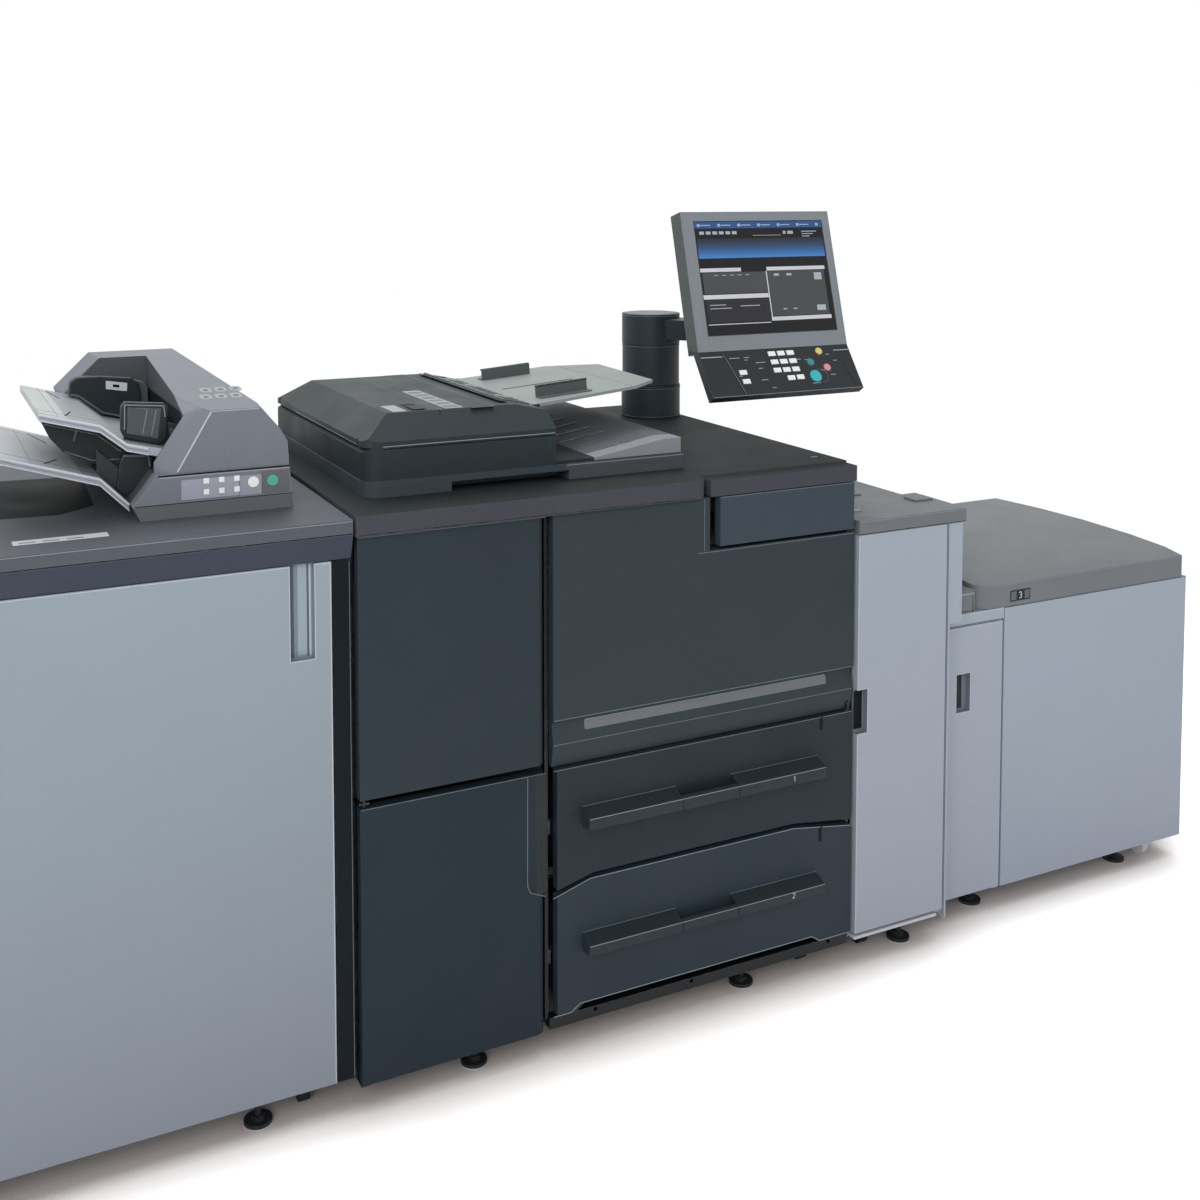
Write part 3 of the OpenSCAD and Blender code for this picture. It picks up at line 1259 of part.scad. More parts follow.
// Places in the relay unit
relay_face = -6;
relay_front = relay_face + door_t + door_room;
relay_under = relay_h - relay_top_t;
relay_door_z = pan_top + 2 * door_gap;
relay_door_top = relay_under - leaf_t / 2;
relay_strip_w = 10;
relay_hinge_x = relay_w - relay_strip_w - hinge_in;
// Depth of the part of the top that reaches over the deck
relay_reach_d = 150;
relay_hinge_y = relay_face + hinge_y;
relay_post_w = 30;
module relay_cabinet() {
  z0 = pan_top + seat;
  x1 = relay_w - sheet_t;
  back = relay_d - sheet_t;
  top_z = relay_under + seat;
  color("#8f9ba5") at_relay() {
    block([0, relay_front, pan_z], [relay_w, relay_d, pan_top]);
    dock_hooks(seat - dock_gap, eps, dock_y);
    dock_hooks(relay_w - eps, relay_w + dock_gap - seat, dock_y);
    for (x = [0, x1]) block([x, relay_front, z0], [x + sheet_t, relay_d, relay_under]);
    block([sheet_t + seat, back, z0], [x1 - seat, relay_d, relay_under]);
    block([relay_w + seat, relay_face, deck_h + dock_gap], [relay_w + relay_post_w, relay_front + door_t, relay_under]);
    block([relay_w - relay_strip_w + door_gap, relay_face, pan_z], [relay_w, relay_front - seat, relay_under]);
    block([sheet_t + seat, relay_front, relay_door_z - door_gap - leaf_t], [x1 - seat, relay_front + door_t, relay_door_z - door_gap]);
    block([relay_hinge_x - hinge_in, relay_hinge_y - pin_r, relay_door_z - door_gap - leaf_t],
          [relay_hinge_x + hinge_in, relay_front + eps, relay_door_z - door_gap]);
    pin_z(relay_hinge_x, relay_hinge_y, relay_door_z - door_gap - leaf_t, relay_door_z + pin_l);
  }
  color("#6f7375") at_relay() {
    block([0, relay_face - door_gap, top_z], [relay_w, relay_d, relay_h]);
    block([relay_w - eps, relay_face - door_gap, top_z], [relay_w + relay_overhang, relay_reach_d, relay_h]);
    pin_z(relay_hinge_x, relay_hinge_y, relay_door_top - pin_l, top_z + leaf_t);
  }
}
relay_recess_z = 469;
module relay_door() {
  x1 = relay_hinge_x + hinge_in;
  color("#98a3ad") at_relay() difference() {
    block([leaf_t / 2, relay_face, relay_door_z], [x1, relay_face + door_t, relay_door_top]);
    block([-eps, relay_face - eps, relay_recess_z], [relay_recess_w, relay_face + recess_d, relay_recess_z + relay_recess_h]);
    for (z = [relay_door_z - eps, relay_door_top - pin_l - seat])
      pin_bore_z(relay_hinge_x, relay_hinge_y, z, z + pin_l + seat + eps);
  }
}

// Places in the paper deck
deck_front = door_t + door_room;
deck_slab_z = deck_h - deck_slab_t;
deck_door_x0 = 32;
deck_door_x1 = deck_door_x0 + deck_door_w;
deck_wall_x = deck_door_x1 + door_gap;
deck_hinge_x = deck_door_x1 - hinge_in;
deck_door_z = pan_z + leaf_t;
deck_door_top = deck_slab_z - leaf_t;
deck_recess_z = 445;
deck_recess_h = 80;
deck_recess_w = 36;
lid_x1 = deck_w - 7 * leaf_t;
lid_z = deck_h + leaf_t / 2;
lid_top = lid_z + lid_rim_h;
lid_hinge_r = 6;
deck_axis_y = deck_d + lid_hinge_r + leaf_t;
deck_axis_z = deck_h + lid_hinge_r;
deck_lug_xs = [lid_x0 + 2 * lug_w, lid_x1 - 3 * lug_w];
module deck_cabinet() {
  z0 = pan_top + seat;
  x1 = deck_w - sheet_t;
  wall = deck_wall_x;
  color("#8f9ba5") at_deck() {
    block([0, deck_front, pan_z], [deck_w, deck_d, pan_top]);
    for (x = [0, wall + seat, x1]) block([x, deck_front, z0], [x + sheet_t, deck_d, x == 0 ? deck_slab_z - seat : deck_h]);
    block([sheet_t + seat, deck_d - sheet_t, z0], [wall, deck_d, deck_slab_z - seat]);
    block([wall + sheet_t + 2 * seat, deck_d - sheet_t, z0], [x1 - seat, deck_d, deck_h]);
    block([0, 0, deck_slab_z], [wall, deck_d, deck_h]);
    block([0, 0, pan_z], [deck_door_x0 - door_gap, deck_front - seat, deck_slab_z - seat]);
    block([wall + leaf_t, 0, pan_z], [deck_w, deck_front - seat, deck_h]);
    block([deck_hinge_x - hinge_in, hinge_y - pin_r, pan_z - leaf_t], [deck_hinge_x + hinge_in, deck_front + leaf_w, pan_z]);
    pin_z(deck_hinge_x, hinge_y, pan_z - leaf_t, deck_door_z + pin_l);
    pin_z(deck_hinge_x, hinge_y, deck_door_top - pin_l, deck_slab_z + leaf_t);
    for (x = deck_lug_xs) lid_bracket(x);
  }
  color("#6c7074") at_deck() {
    block([deck_door_x0 + 2 * leaf_t, 0, deck_h + seat], [lid_x0 - 2 * leaf_t, deck_d, lid_top - leaf_t]);
    block([leaf_t, deck_d / 3, deck_h + seat], [deck_door_x0, deck_d, lid_top + lid_crown]);
  }
}
// A bracket behind the deck, whose pin the lid turns on
module lid_bracket(x) {
  cheek = 2 * sheet_t;
  z0 = deck_h - 2 * lug_w;
  y0 = deck_d + seat;
  y1 = deck_axis_y + lid_hinge_r;
  block([x - seat - cheek, y0, z0], [x + lug_w + seat + cheek, y0 + sheet_t, deck_axis_z - 3 * lid_hinge_r]);
  for (c = [x - seat - cheek, x + lug_w + seat]) block([c, y0 + leaf_t, z0], [c + cheek, y1, deck_axis_z + lid_hinge_r - leaf_t]);
  rod_x(deck_axis_y, deck_axis_z, pin_r, x - seat - eps, x + lug_w + seat + eps);
}
module deck_door() {
  color("#98a3ad") at_deck() difference() {
    block([deck_door_x0, 0, deck_door_z], [deck_door_x1, door_t, deck_door_top]);
    block([deck_door_x0 + deck_recess_w * 3 / 4, -eps, deck_recess_z], [deck_door_x0 + deck_recess_w * 7 / 4, recess_d, deck_recess_z + deck_recess_h]);
    for (z = [deck_door_z - eps, deck_door_top - pin_l - seat])
      pin_bore_z(deck_hinge_x, hinge_y, z, z + pin_l + seat + eps);
  }
}
// Shape of the lid's crown from front to back, as shares of the depth and the rise
crown_shares = [[0.08, 0.45], [0.25, 0.8], [0.5, 1], [0.75, 0.95], [1, 0.7]];
// The lid is a shell, open below, with a crowned top
module lid_solid(inset) {
  top = lid_top - inset;
  intersection() {
    corner_block([lid_x0 + inset, inset, lid_z - (inset == 0 ? 0 : eps)],
                 [lid_x1 - inset, deck_d - inset, lid_top + lid_crown + eps], lid_corner_r - inset);
    sweep_x(lid_x0, lid_x1) polygon(concat([[0, lid_z - eps], [0, top]],
      [for (s = crown_shares) [deck_d * s[0], top + lid_crown * s[1]]], [[deck_d, lid_z - eps]]));
  }
}
module deck_lid() {
  color("#6c7074") at_deck() {
    difference() {
      lid_solid(0);
      lid_solid(shell_t);
    }
    for (x = deck_lug_xs) difference() {
      block([x, deck_d - eps, deck_axis_z - lid_hinge_r + leaf_t / 2], [x + lug_w, deck_axis_y + lid_hinge_r, deck_axis_z + lid_hinge_r]);
      rod_x(deck_axis_y, deck_axis_z, pin_r + run_fit, x - eps, x + lug_w + eps);
    }
  }
}
deck_plate_z = pan_top + seat;
module deck_lift_plate() {
  x0 = deck_wall_x + sheet_t + 4 * seat;
  side = 2 * leaf_t;
  color("#b8bcbd") at_deck()
    block([x0 + side, deck_front + side, deck_plate_z], [deck_w - sheet_t - side, deck_d - sheet_t - side, deck_plate_z + lift_t]);
}

// Casters and feet stand under every unit's base pan
caster_axle_r = 3;
caster_plate = 40;
caster_near = 50;
// Places of casters and feet: how far in from a unit's left and right ends
caster_in = 70;
foot_in = 150;
module caster(x, y) {
  half = wheel_w / 2;
  cheek = leaf_t;
  plate_top = pan_z - seat;
  translate([x, y, 0]) {
    block([-caster_plate / 2, -caster_plate / 2, plate_top - sheet_t], [caster_plate / 2, caster_plate / 2, plate_top]);
    for (s = [-half - seat * 2 - cheek, half + seat * 2])
      block([s, -wheel_r / 2, wheel_r - 2 * caster_axle_r], [s + cheek, wheel_r / 2, plate_top - sheet_t + eps]);
    rod_x(0, wheel_r, caster_axle_r, -half - seat * 2 - eps, half + seat * 2 + eps);
    difference() {
      rod_x(0, wheel_r, wheel_r, -half, half);
      rod_x(0, wheel_r, caster_axle_r + run_fit, -half - eps, half + eps);
    }
  }
}
module foot(x, y) {
  translate([x, y, 0]) {
    cylinder(r = foot_r, h = foot_h);
    cylinder(r = foot_r / 4, h = pan_z - seat);
    translate([0, 0, foot_h - eps]) cylinder(r = foot_r / 2, h = foot_h, $fn = 6);
  }
}
module casters() {
  color("#26282a") {
    at_engine() for (x = [caster_in, engine_w - caster_in], y = [frame_front + caster_near, engine_d - caster_near]) caster(x, y);
    at_finisher() for (x = [caster_in, finisher_w - caster_in], y = [fin_front + caster_near, finisher_d - caster_near]) caster(x, y);
    at_relay() for (y = [relay_front + caster_near, relay_d - caster_near]) caster(caster_in, y);
    at_deck() for (x = [caster_near, deck_w - caster_in], y = [deck_front + caster_near / 2, deck_d - caster_near]) caster(x, y);
  }
}
module levelling_feet() {
  color("#a6aaad") {
    at_engine() for (x = [foot_in + caster_in, engine_w - foot_in - caster_in], y = [frame_front + foot_r, engine_d - caster_near]) foot(x, y);
    at_finisher() for (x = [foot_in, finisher_w - foot_in], y = [fin_front + foot_r, finisher_d - caster_near]) foot(x, y);
    at_relay() for (y = [relay_front + foot_r, relay_d - caster_near]) foot(foot_in, y);
    at_deck() for (x = [foot_in, deck_w - foot_in], y = [deck_front + foot_r, deck_d - caster_near]) foot(x, y);
  }
}

engine_frame();
engine_side_covers();
engine_rear_cover();
power_inlet();
engine_worktop();
platen_glass();
scanner_carriage();
left_upper_door();
left_lower_door();
front_door();
toner_door();
toner_bottle();
drawer_1();
drawer_1_handle();
drawer_1_lift_plate();
drawer_2();
drawer_2_handle();
drawer_2_lift_plate();
drawer_rails();
photoconductor_drum();
developer_unit();
transfer_unit();
fixing_heat_roller();
fixing_press_roller();
main_motor();
waste_toner_box();
feeder_base();
feeder_housing();
feeder_cover();
feeder_input_tray();
feeder_guide_front();
feeder_guide_rear();
feeder_output_plate();
feeder_pickup_roller();
feeder_hinges();
panel_post();
panel_arm();
panel_housing();
panel_screen();
number_keys();
function_keys();
start_key();
stop_key();
finisher_frame();
finisher_worktop();
finisher_door();
stack_tray();
exit_roller();
stapler_unit();
inserter_housing();
inserter_trays();
inserter_keys();
relay_cabinet();
relay_door();
deck_cabinet();
deck_door();
deck_lid();
deck_lift_plate();
casters();
levelling_feet();
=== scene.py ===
import bpy, bmesh, json, math
from mathutils import Matrix, Vector


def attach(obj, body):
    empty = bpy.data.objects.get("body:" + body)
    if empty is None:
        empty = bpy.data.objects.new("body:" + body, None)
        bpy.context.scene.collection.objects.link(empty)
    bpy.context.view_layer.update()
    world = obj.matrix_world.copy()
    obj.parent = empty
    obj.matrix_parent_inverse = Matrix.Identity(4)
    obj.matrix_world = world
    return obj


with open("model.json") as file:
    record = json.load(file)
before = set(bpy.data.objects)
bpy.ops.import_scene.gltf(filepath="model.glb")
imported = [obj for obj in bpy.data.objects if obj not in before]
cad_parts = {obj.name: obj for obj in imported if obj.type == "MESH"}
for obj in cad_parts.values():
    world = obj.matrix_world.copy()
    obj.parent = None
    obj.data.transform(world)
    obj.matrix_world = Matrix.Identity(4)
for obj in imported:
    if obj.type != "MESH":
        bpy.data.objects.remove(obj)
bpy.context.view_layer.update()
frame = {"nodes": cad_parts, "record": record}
nodes = frame["nodes"]
print("frame loaded,", len(nodes), "nodes")

# where each docked unit's own corner stands, in millimetres
unitCorner = {"engine": (-483, -415), "finisher": (-1247, -415), "relay": (511, -415), "deck": (743, -372)}
mm = 0.001


def spot(unit, x, y, z):
    cornerX, cornerY = unitCorner[unit]
    return Vector(((cornerX + x) * mm, (cornerY + y) * mm, z * mm))


# materials
def linear(colour):
    # a written colour such as #34404a, as the shader takes it
    parts = [int(colour[i:i + 2], 16) / 255 for i in (1, 3, 5)]
    return [p / 12.92 if p <= 0.04045 else ((p + 0.055) / 1.055) ** 2.4 for p in parts] + [1]


def shade(colour, factor):
    return [min(1, c * factor) for c in colour[:3]] + [1]


class Nodes:
    # shorthand for the node tree of a material or of the world
    def __init__(self, owner):
        owner.use_nodes = True
        self.tree = owner.node_tree

    def add(self, kind, **settings):
        node = self.tree.nodes.new(kind)
        for key, value in settings.items():
            setattr(node, key, value)
        return node

    def put(self, value, socket):
        # an output is linked to the socket; a number or a colour is written into it
        if isinstance(value, bpy.types.NodeSocket):
            self.tree.links.new(value, socket)
        else:
            socket.default_value = value

    def maths(self, operation, first, second):
        node = self.add("ShaderNodeMath", operation=operation)
        self.put(first, node.inputs[0])
        self.put(second, node.inputs[1])
        return node.outputs[0]

    def vectors(self, operation, first, second=(0, 0, 0)):
        node = self.add("ShaderNodeVectorMath", operation=operation)
        self.put(first, node.inputs[0])
        self.put(second, node.inputs[1])
        return node.outputs["Value"]

    def stretch(self, scale):
        node = self.add("ShaderNodeMapping")
        self.put(scale, node.inputs["Scale"])
        self.put(self.coords, node.inputs["Vector"])
        return node.outputs["Vector"]

    def noise(self, scale, detail=2, rough=0.5, vector=None):
        node = self.add("ShaderNodeTexNoise")
        self.put(scale, node.inputs["Scale"])
        self.put(detail, node.inputs["Detail"])
        self.put(rough, node.inputs["Roughness"])
        self.put(vector or self.coords, node.inputs["Vector"])
        return node.outputs["Fac"]

    def remap(self, value, low, high, toLow, toHigh):
        node = self.add("ShaderNodeMapRange")
        for key, number in (("From Min", low), ("From Max", high), ("To Min", toLow), ("To Max", toHigh)):
            self.put(number, node.inputs[key])
        self.put(value, node.inputs["Value"])
        return node.outputs["Result"]

    def mix(self, factor, first, second):
        node = self.add("ShaderNodeMix", data_type="RGBA")
        self.put(factor, node.inputs[0])
        self.put(first, node.inputs[6])
        self.put(second, node.inputs[7])
        return node.outputs[2]

    def scaled(self, colour, factor):
        # a colour times a factor from a texture
        node = self.add("ShaderNodeVectorMath", operation="SCALE")
        self.put(colour[:3] if isinstance(colour, list) else colour, node.inputs[0])
        self.put(factor, node.inputs["Scale"])
        return node.outputs[0]

    def bump(self, height, strength, distance, before=None):
        node = self.add("ShaderNodeBump")
        self.put(strength, node.inputs["Strength"])
        self.put(distance, node.inputs["Distance"])
        self.put(height, node.inputs["Height"])
        if before:
            self.put(before, node.inputs["Normal"])
        return node.outputs["Normal"]

    def edges(self, radius):
        # 1 on a worn edge and 0 on the flat, from the bend of the surface within a radius
        bevel = self.add("ShaderNodeBevel", samples=4)
        self.put(radius, bevel.inputs["Radius"])
        flat = self.add("ShaderNodeNewGeometry")
        bend = self.vectors("DOT_PRODUCT", bevel.outputs["Normal"], flat.outputs["Normal"])
        return self.remap(bend, 0.995, 0.9, 0, 1)

    def inBox(self, low, high):
        # 1 inside a box of rest coordinates and 0 outside; a side without a limit is None
        split = self.add("ShaderNodeSeparateXYZ")
        self.put(self.coords, split.inputs[0])
        inside = 1
        for side, least, most in zip(split.outputs, low, high):
            if least is not None:
                inside = self.maths("MULTIPLY", inside, self.maths("GREATER_THAN", side, least))
            if most is not None:
                inside = self.maths("MULTIPLY", inside, self.maths("LESS_THAN", side, most))
        return inside

    def facing(self, way, low, high):
        # 1 on faces that look along a way, 0 on the others
        return self.remap(self.vectors("DOT_PRODUCT", self.normal, way), low, high, 0, 1)

    def footShade(self, top):
        # a painted shade towards the floor: 0 at a height in metres and above, rising to 1 at the floor
        split = self.add("ShaderNodeSeparateXYZ")
        self.put(self.coords, split.inputs[0])
        return self.remap(split.outputs["Z"], top, 0, 0, 1)

    def zones(self, colour, zones):
        # other colours on parts of one piece
        for zone in zones:
            factor = self.inBox(*zone["box"]) if "box" in zone else self.facing(*zone["faces"])
            colour = self.mix(factor, colour, linear(zone["colour"]))
        return colour

    def directRays(self):
        # 1 for what the camera sees, also in metal and through glass
        path = self.add("ShaderNodeLightPath")
        rays = path.outputs["Is Camera Ray"]
        for ray in ("Is Glossy Ray", "Is Transmission Ray"):
            rays = self.maths("MAXIMUM", rays, path.outputs[ray])
        return rays


class Material(Nodes):
    def __init__(self, name):
        self.material = bpy.data.materials.new(name)
        super().__init__(self.material)
        self.shader = self.tree.nodes["Principled BSDF"]
        self.output = self.tree.nodes["Material Output"]
        source = self.add("ShaderNodeTexCoord")
        self.coords = source.outputs["Object"]
        self.normal = source.outputs["Normal"]

    def write(self, inputs):
        for key, value in inputs.items():
            self.put(value, self.shader.inputs[key])


def paintedSkin(name, s):
    # grained plastic or powder coated sheet: faint clouds in the colour, rubbed edges, and with a foot colour a painted
    # shade towards the floor
    m = Material(name)
    colour = m.zones(shade(linear(s["colour"]), s["tone"]), s["zones"])
    colour = m.scaled(colour, m.remap(m.noise(s["cloudScale"], 3), 0.3, 0.7, *s["clouds"]))
    if "specks" in s:
        colour = m.scaled(colour, m.remap(m.noise(s["grain"] * s["speckShare"], 1), 0.35, 0.65, *s["specks"]))
    # painted shade: the colour darkens to the foot colour towards the floor
    if "foot" in s:
        colour = m.mix(m.footShade(s["footFrom"]), colour, linear(s["foot"]))
    rub = m.remap(m.noise(s["rubScale"], 3), *s["rub"], 0, s["wear"])
    colour = m.mix(m.maths("MULTIPLY", m.edges(s["edge"]), rub), colour, linear(s["wearColour"]))
    rough = s["roughness"]
    normal = m.bump(m.noise(s["wave"], 1), s["waveBump"], s["waveDepth"])
    normal = m.bump(m.noise(s["grain"], 2, s["grainRough"]), s["bump"], s["grainDepth"], normal)
    m.write({"Base Color": colour, "Normal": normal, "Specular IOR Level": s["specular"],
             "Roughness": m.remap(m.noise(s["roughScale"], 4), 0.3, 0.7, rough - 0.05, rough + 0.06)})
    return m.material


def brushedMetal(name, s):
    # drawn or brushed metal: long fine scratches along one way, and stains
    m = Material(name)
    base = linear(s["colour"])
    lines = m.noise(s["lines"], 4, 0.7, m.stretch(s["along"]))
    stains = m.remap(m.noise(s["stainScale"], 4), 0.35, 0.7, 0, s["stain"])
    colour = m.mix(m.remap(lines, 0.3, 0.7, 0, 1), shade(base, 0.85), shade(base, 1.12))
    rough = s["roughness"]
    m.write({"Base Color": m.mix(stains, colour, shade(base, 0.7)), "Metallic": s["metallic"],
             "Roughness": m.remap(lines, 0.3, 0.7, rough - 0.08, rough + 0.1),
             "Normal": m.bump(lines, s["bump"], s["depth"])})
    return m.material


def softRubber(name, s):
    # matt rubber: dusty, with a fine tooth
    m = Material(name)
    base = linear(s["colour"])
    rough = s["roughness"]
    dust = m.remap(m.noise(s["dustScale"], 5), 0.4, 0.75, 0, s["dust"])
    m.write({"Base Color": m.mix(dust, base, shade(base, 1.6)), "Specular IOR Level": s["specular"],
             "Roughness": m.remap(m.noise(s["roughScale"], 3), 0.3, 0.7, rough - 0.1, rough + 0.1),
             "Normal": m.bump(m.noise(s["tooth"], 3, 0.7), s["bump"], s["depth"])})
    return m.material


def glossySkin(name, s):
    # smooth gloss plastic or glass print: faint ripple, smudges in the roughness
    m = Material(name)
    base = linear(s["colour"])
    rough = s["roughness"]
    cloud = m.remap(m.noise(s["cloudScale"], 2), 0.3, 0.7, 0, 1)
    m.write({"Base Color": m.mix(cloud, shade(base, 0.94), shade(base, 1.06)), "Specular IOR Level": s["specular"],
             "Roughness": m.remap(m.noise(s["smudgeScale"], 5, 0.6), 0.35, 0.7, rough, rough + s["smudge"]),
             "Normal": m.bump(m.noise(s["ripple"], 1), s["bump"], s["depth"])})
    if "glow" in s:
        m.write({"Emission Color": base, "Emission Strength": s["glow"]})
    if "see" in s:
        m.write({"Transmission Weight": s["see"], "IOR": s["bend"]})
    return m.material


def glowBand(name, s):
    # a lit band on the screen, from near black above to its colour below
    m = Material(name)
    rise = m.remap(m.vectors("DOT_PRODUCT", m.coords, s["way"]), s["from"], s["to"], 0, 1)
    colour = m.mix(m.maths("POWER", rise, 2), linear(s["dark"]), linear(s["colour"]))
    rough = s["roughness"]
    m.write({"Base Color": colour, "Emission Color": colour, "Emission Strength": s["glow"],
             "Roughness": m.remap(m.noise(s["smudgeScale"], 4), 0.35, 0.7, rough, rough + s["smudge"])})
    return m.material


# a zone is a part of a piece with a colour of its own, or with a painted light or shade
def within(colour, unit, x=(None, None), y=(None, None), z=(None, None)):
    # between limits in the unit's millimetres; None leaves a side open
    shift = (*unitCorner[unit], 0)
    box = [[None if v is None else (v + d) * mm for v, d in zip(corner, shift)] for corner in zip(x, y, z)]
    return {"colour": colour, "box": box}


def looking(colour, way, low, high):
    # on the faces that look along a way
    return {"colour": colour, "faces": (way, low, high)}


# kinds of surface, with what their finishes share
plastic = {
    "build": paintedSkin, "zones": [], "tone": 1, "cloudScale": 3.5, "clouds": (0.98, 1.06), "specks": (0.97, 1.07),
    "speckShare": 0.6, "edge": 0.0015, "rubScale": 60, "rub": (0.35, 0.75), "wear": 0.35, "wearColour": "#8a9096",
    "roughness": 0.5, "roughScale": 9, "specular": 0.25, "wave": 5, "waveBump": 0.15, "waveDepth": 0.002,
    "grain": 900, "grainRough": 0.6, "grainDepth": 0.0002, "bump": 0.22,
}
coated = {
    "build": paintedSkin, "zones": [], "tone": 0.99, "cloudScale": 2.2, "clouds": (0.99, 1.03), "footFrom": 0.9,
    "edge": 0.0012, "rubScale": 80, "rub": (0.45, 0.8), "wear": 0.5, "wearColour": "#a9adb0",
    "roughScale": 12, "specular": 0.28, "wave": 3, "waveBump": 0.12, "waveDepth": 0.003,
    "grain": 420, "grainRough": 0.5, "grainDepth": 0.0002, "bump": 0.14,
}
brushed = {"build": brushedMetal, "along": (1, 14, 14), "lines": 260, "stainScale": 14, "stain": 0.35, "metallic": 0.9,
           "bump": 0.12, "depth": 0.0002}
rubber = {"build": softRubber, "dustScale": 40, "dust": 0.5, "roughScale": 30, "tooth": 700, "specular": 0.15,
          "bump": 0.3, "depth": 0.0003}
gloss = {"build": glossySkin, "cloudScale": 7, "smudgeScale": 18, "smudge": 0.12, "ripple": 6, "specular": 0.31,
         "bend": 1.45, "bump": 0.06, "depth": 0.002}
glow = {"build": glowBand, "way": (0, 0.2588, 0.9659), "from": 1.3835, "to": 1.3323, "dark": "#04060b", "glow": 0.35,
        "smudgeScale": 18, "smudge": 0.1}

# a finish: its kind, colour and roughness, and where it differs from its kind
finishes = {
    "frame_steel": (coated, "#6f7478", 0.45),
    "charcoal_panel": (plastic, "#2d363c", 0.55, {"wearColour": "#5c646b", "specular": 0.14}),
    "charcoal_cover": (coated, "#2a3137", 0.5, {"wearColour": "#5a6167", "specular": 0.15}),
    "worktop_dark": (plastic, "#272c2d", 0.62, {"grain": 700, "bump": 0.35, "wearColour": "#6a6d74", "specular": 0.09}),
    "dark_plastic": (plastic, "#272f34", 0.5, {"wearColour": "#5c646a", "specular": 0.15}),
    "platen_glass": (gloss, "#9fb4b8", 0.03, {"see": 0.85}),
    "drawer_plate": (brushed, "#b8bcbd", 0.4),
    "rail_steel": (brushed, "#9aa0a4", 0.3, {"along": (14, 1, 14)}),
    "drum_coat": (gloss, "#3f7d5c", 0.12),
    "roller_rubber": (rubber, "#3a3a3c", 0.72),
    "heat_roller": (gloss, "#a8543a", 0.3),
    "unit_grey": (plastic, "#54585c", 0.5),
    "motor_metal": (brushed, "#8d9194", 0.45),
    "pale_plastic": (plastic, "#e0dfd8", 0.45, {"wearColour": "#f4f3ee"}),
    "feeder_grey": (plastic, "#283033", 0.5, {"wearColour": "#737a7c", "specular": 0.15}),
    "tray_grey": (plastic, "#838c8a", 0.5, {"wearColour": "#b4bab8"}),
    "output_grey": (plastic, "#5d6166", 0.6, {"wearColour": "#b4b7bb", "specular": 0.06}),
    "post_dark": (plastic, "#2b343a", 0.45, {"wearColour": "#656c70", "specular": 0.19}),
    "bezel_grey": (plastic, "#7c8287", 0.42, {"wearColour": "#b8babd"}),
    "screen_dark": (gloss, "#0e1626", 0.1),
    "key_white": (plastic, "#e9ebec", 0.4, {"wearColour": "#ffffff"}),
    "key_yellow": (plastic, "#d9c46a", 0.4),
    "key_teal": (plastic, "#37b0b4", 0.35),
    "key_pink": (plastic, "#e08a93", 0.4),
    "cabinet_blue_grey": (coated, "#7d868c", 0.45),
    # a foot colour paints shade on the lower part of the sheet
    "panel_blue_grey": (coated, "#8d99a1", 0.5, {"wearColour": "#c6cdd3", "foot": "#7d838e"}),
    "finisher_top": (plastic, "#4b4f56", 0.55, {"grain": 700, "bump": 0.35}),
    "inserter_grey": (plastic, "#71757e", 0.5, {"wearColour": "#b0b0b8"}),
    "sheet_tray_grey": (plastic, "#9a9ea8", 0.42, {"wearColour": "#d6d8dc"}),
    "relay_panel": (coated, "#9ca5b1", 0.5, {"wearColour": "#c6cdd3", "foot": "#979ca8"}),
    "deck_panel": (coated, "#9ba5b1", 0.5, {"wearColour": "#c6cdd3", "foot": "#939aa8", "footFrom": 0.6}),
    "deck_lid_grey": (plastic, "#6c7074", 0.5, {"wearColour": "#9fa2a6"}),
    "caster_black": (rubber, "#191b1d", 0.72),
    # seam_dark and deep_grey colour seams, slots and dark parts, and also dark strips that paint shade in recesses
    "seam_dark": (plastic, "#101417", 0.6, {"specular": 0.09}),
    "deep_grey": (plastic, "#23292d", 0.5, {"specular": 0.15}),
    # edge_light, edge_soft and edge_bright colour thin light lines along edges and rims, most of them painted
    # highlights, and some light marks and plates
    "edge_light": (plastic, "#79838a", 0.4),
    "edge_soft": (plastic, "#565f65", 0.45),
    "edge_bright": (plastic, "#b4b9be", 0.35),
    "strip_grey": (plastic, "#66686f", 0.42),
    "blank_plate": (plastic, "#b9bcc2", 0.45),
    "blank_dull": (plastic, "#8f9896", 0.45),
    # the colours of the finisher door's grip recess; grip_shade is its painted shadow
    "grip_blue": (coated, "#95a2a8", 0.45),
    "grip_shade": (coated, "#525c69", 0.5),
    # tray_bright colours the painted highlights on the tray rims
    "tray_bright": (plastic, "#c3c8d0", 0.3),
    "hump_grey": (plastic, "#666b6c", 0.5),
    "mark_grey": (plastic, "#a3aab0", 0.45),
    "guide_black": (plastic, "#22282c", 0.38, {"wearColour": "#8a9094", "wear": 0.8}),
    "guide_grey": (plastic, "#474f52", 0.35, {"wearColour": "#a9afb2", "wear": 0.9}),
    "lever_green": (plastic, "#2f8f5b", 0.4),
    "lever_blue": (plastic, "#3a6fa8", 0.4),
    "inner_black": (coated, "#1c2023", 0.55),
    "zinc_screw": (brushed, "#a8abad", 0.35),
    "ui_black": (gloss, "#06070b", 0.16),
    "ui_blue": (gloss, "#1d4a80", 0.16, {"glow": 0.25}),
    "ui_panel": (gloss, "#454849", 0.2),
    "ui_deep": (gloss, "#26262f", 0.2),
    "ui_light": (gloss, "#c2c3ca", 0.2, {"glow": 0.12}),
    "ui_mark": (gloss, "#9aa3ad", 0.2, {"glow": 0.2}),
    "ui_glow": (glow, "#2f74b8", 0.14),
    "foot_metal": (plastic, "#1d2022", 0.45, {"zones": [within("#9a9ea1", "engine", z=(None, 2.5))]}),
}
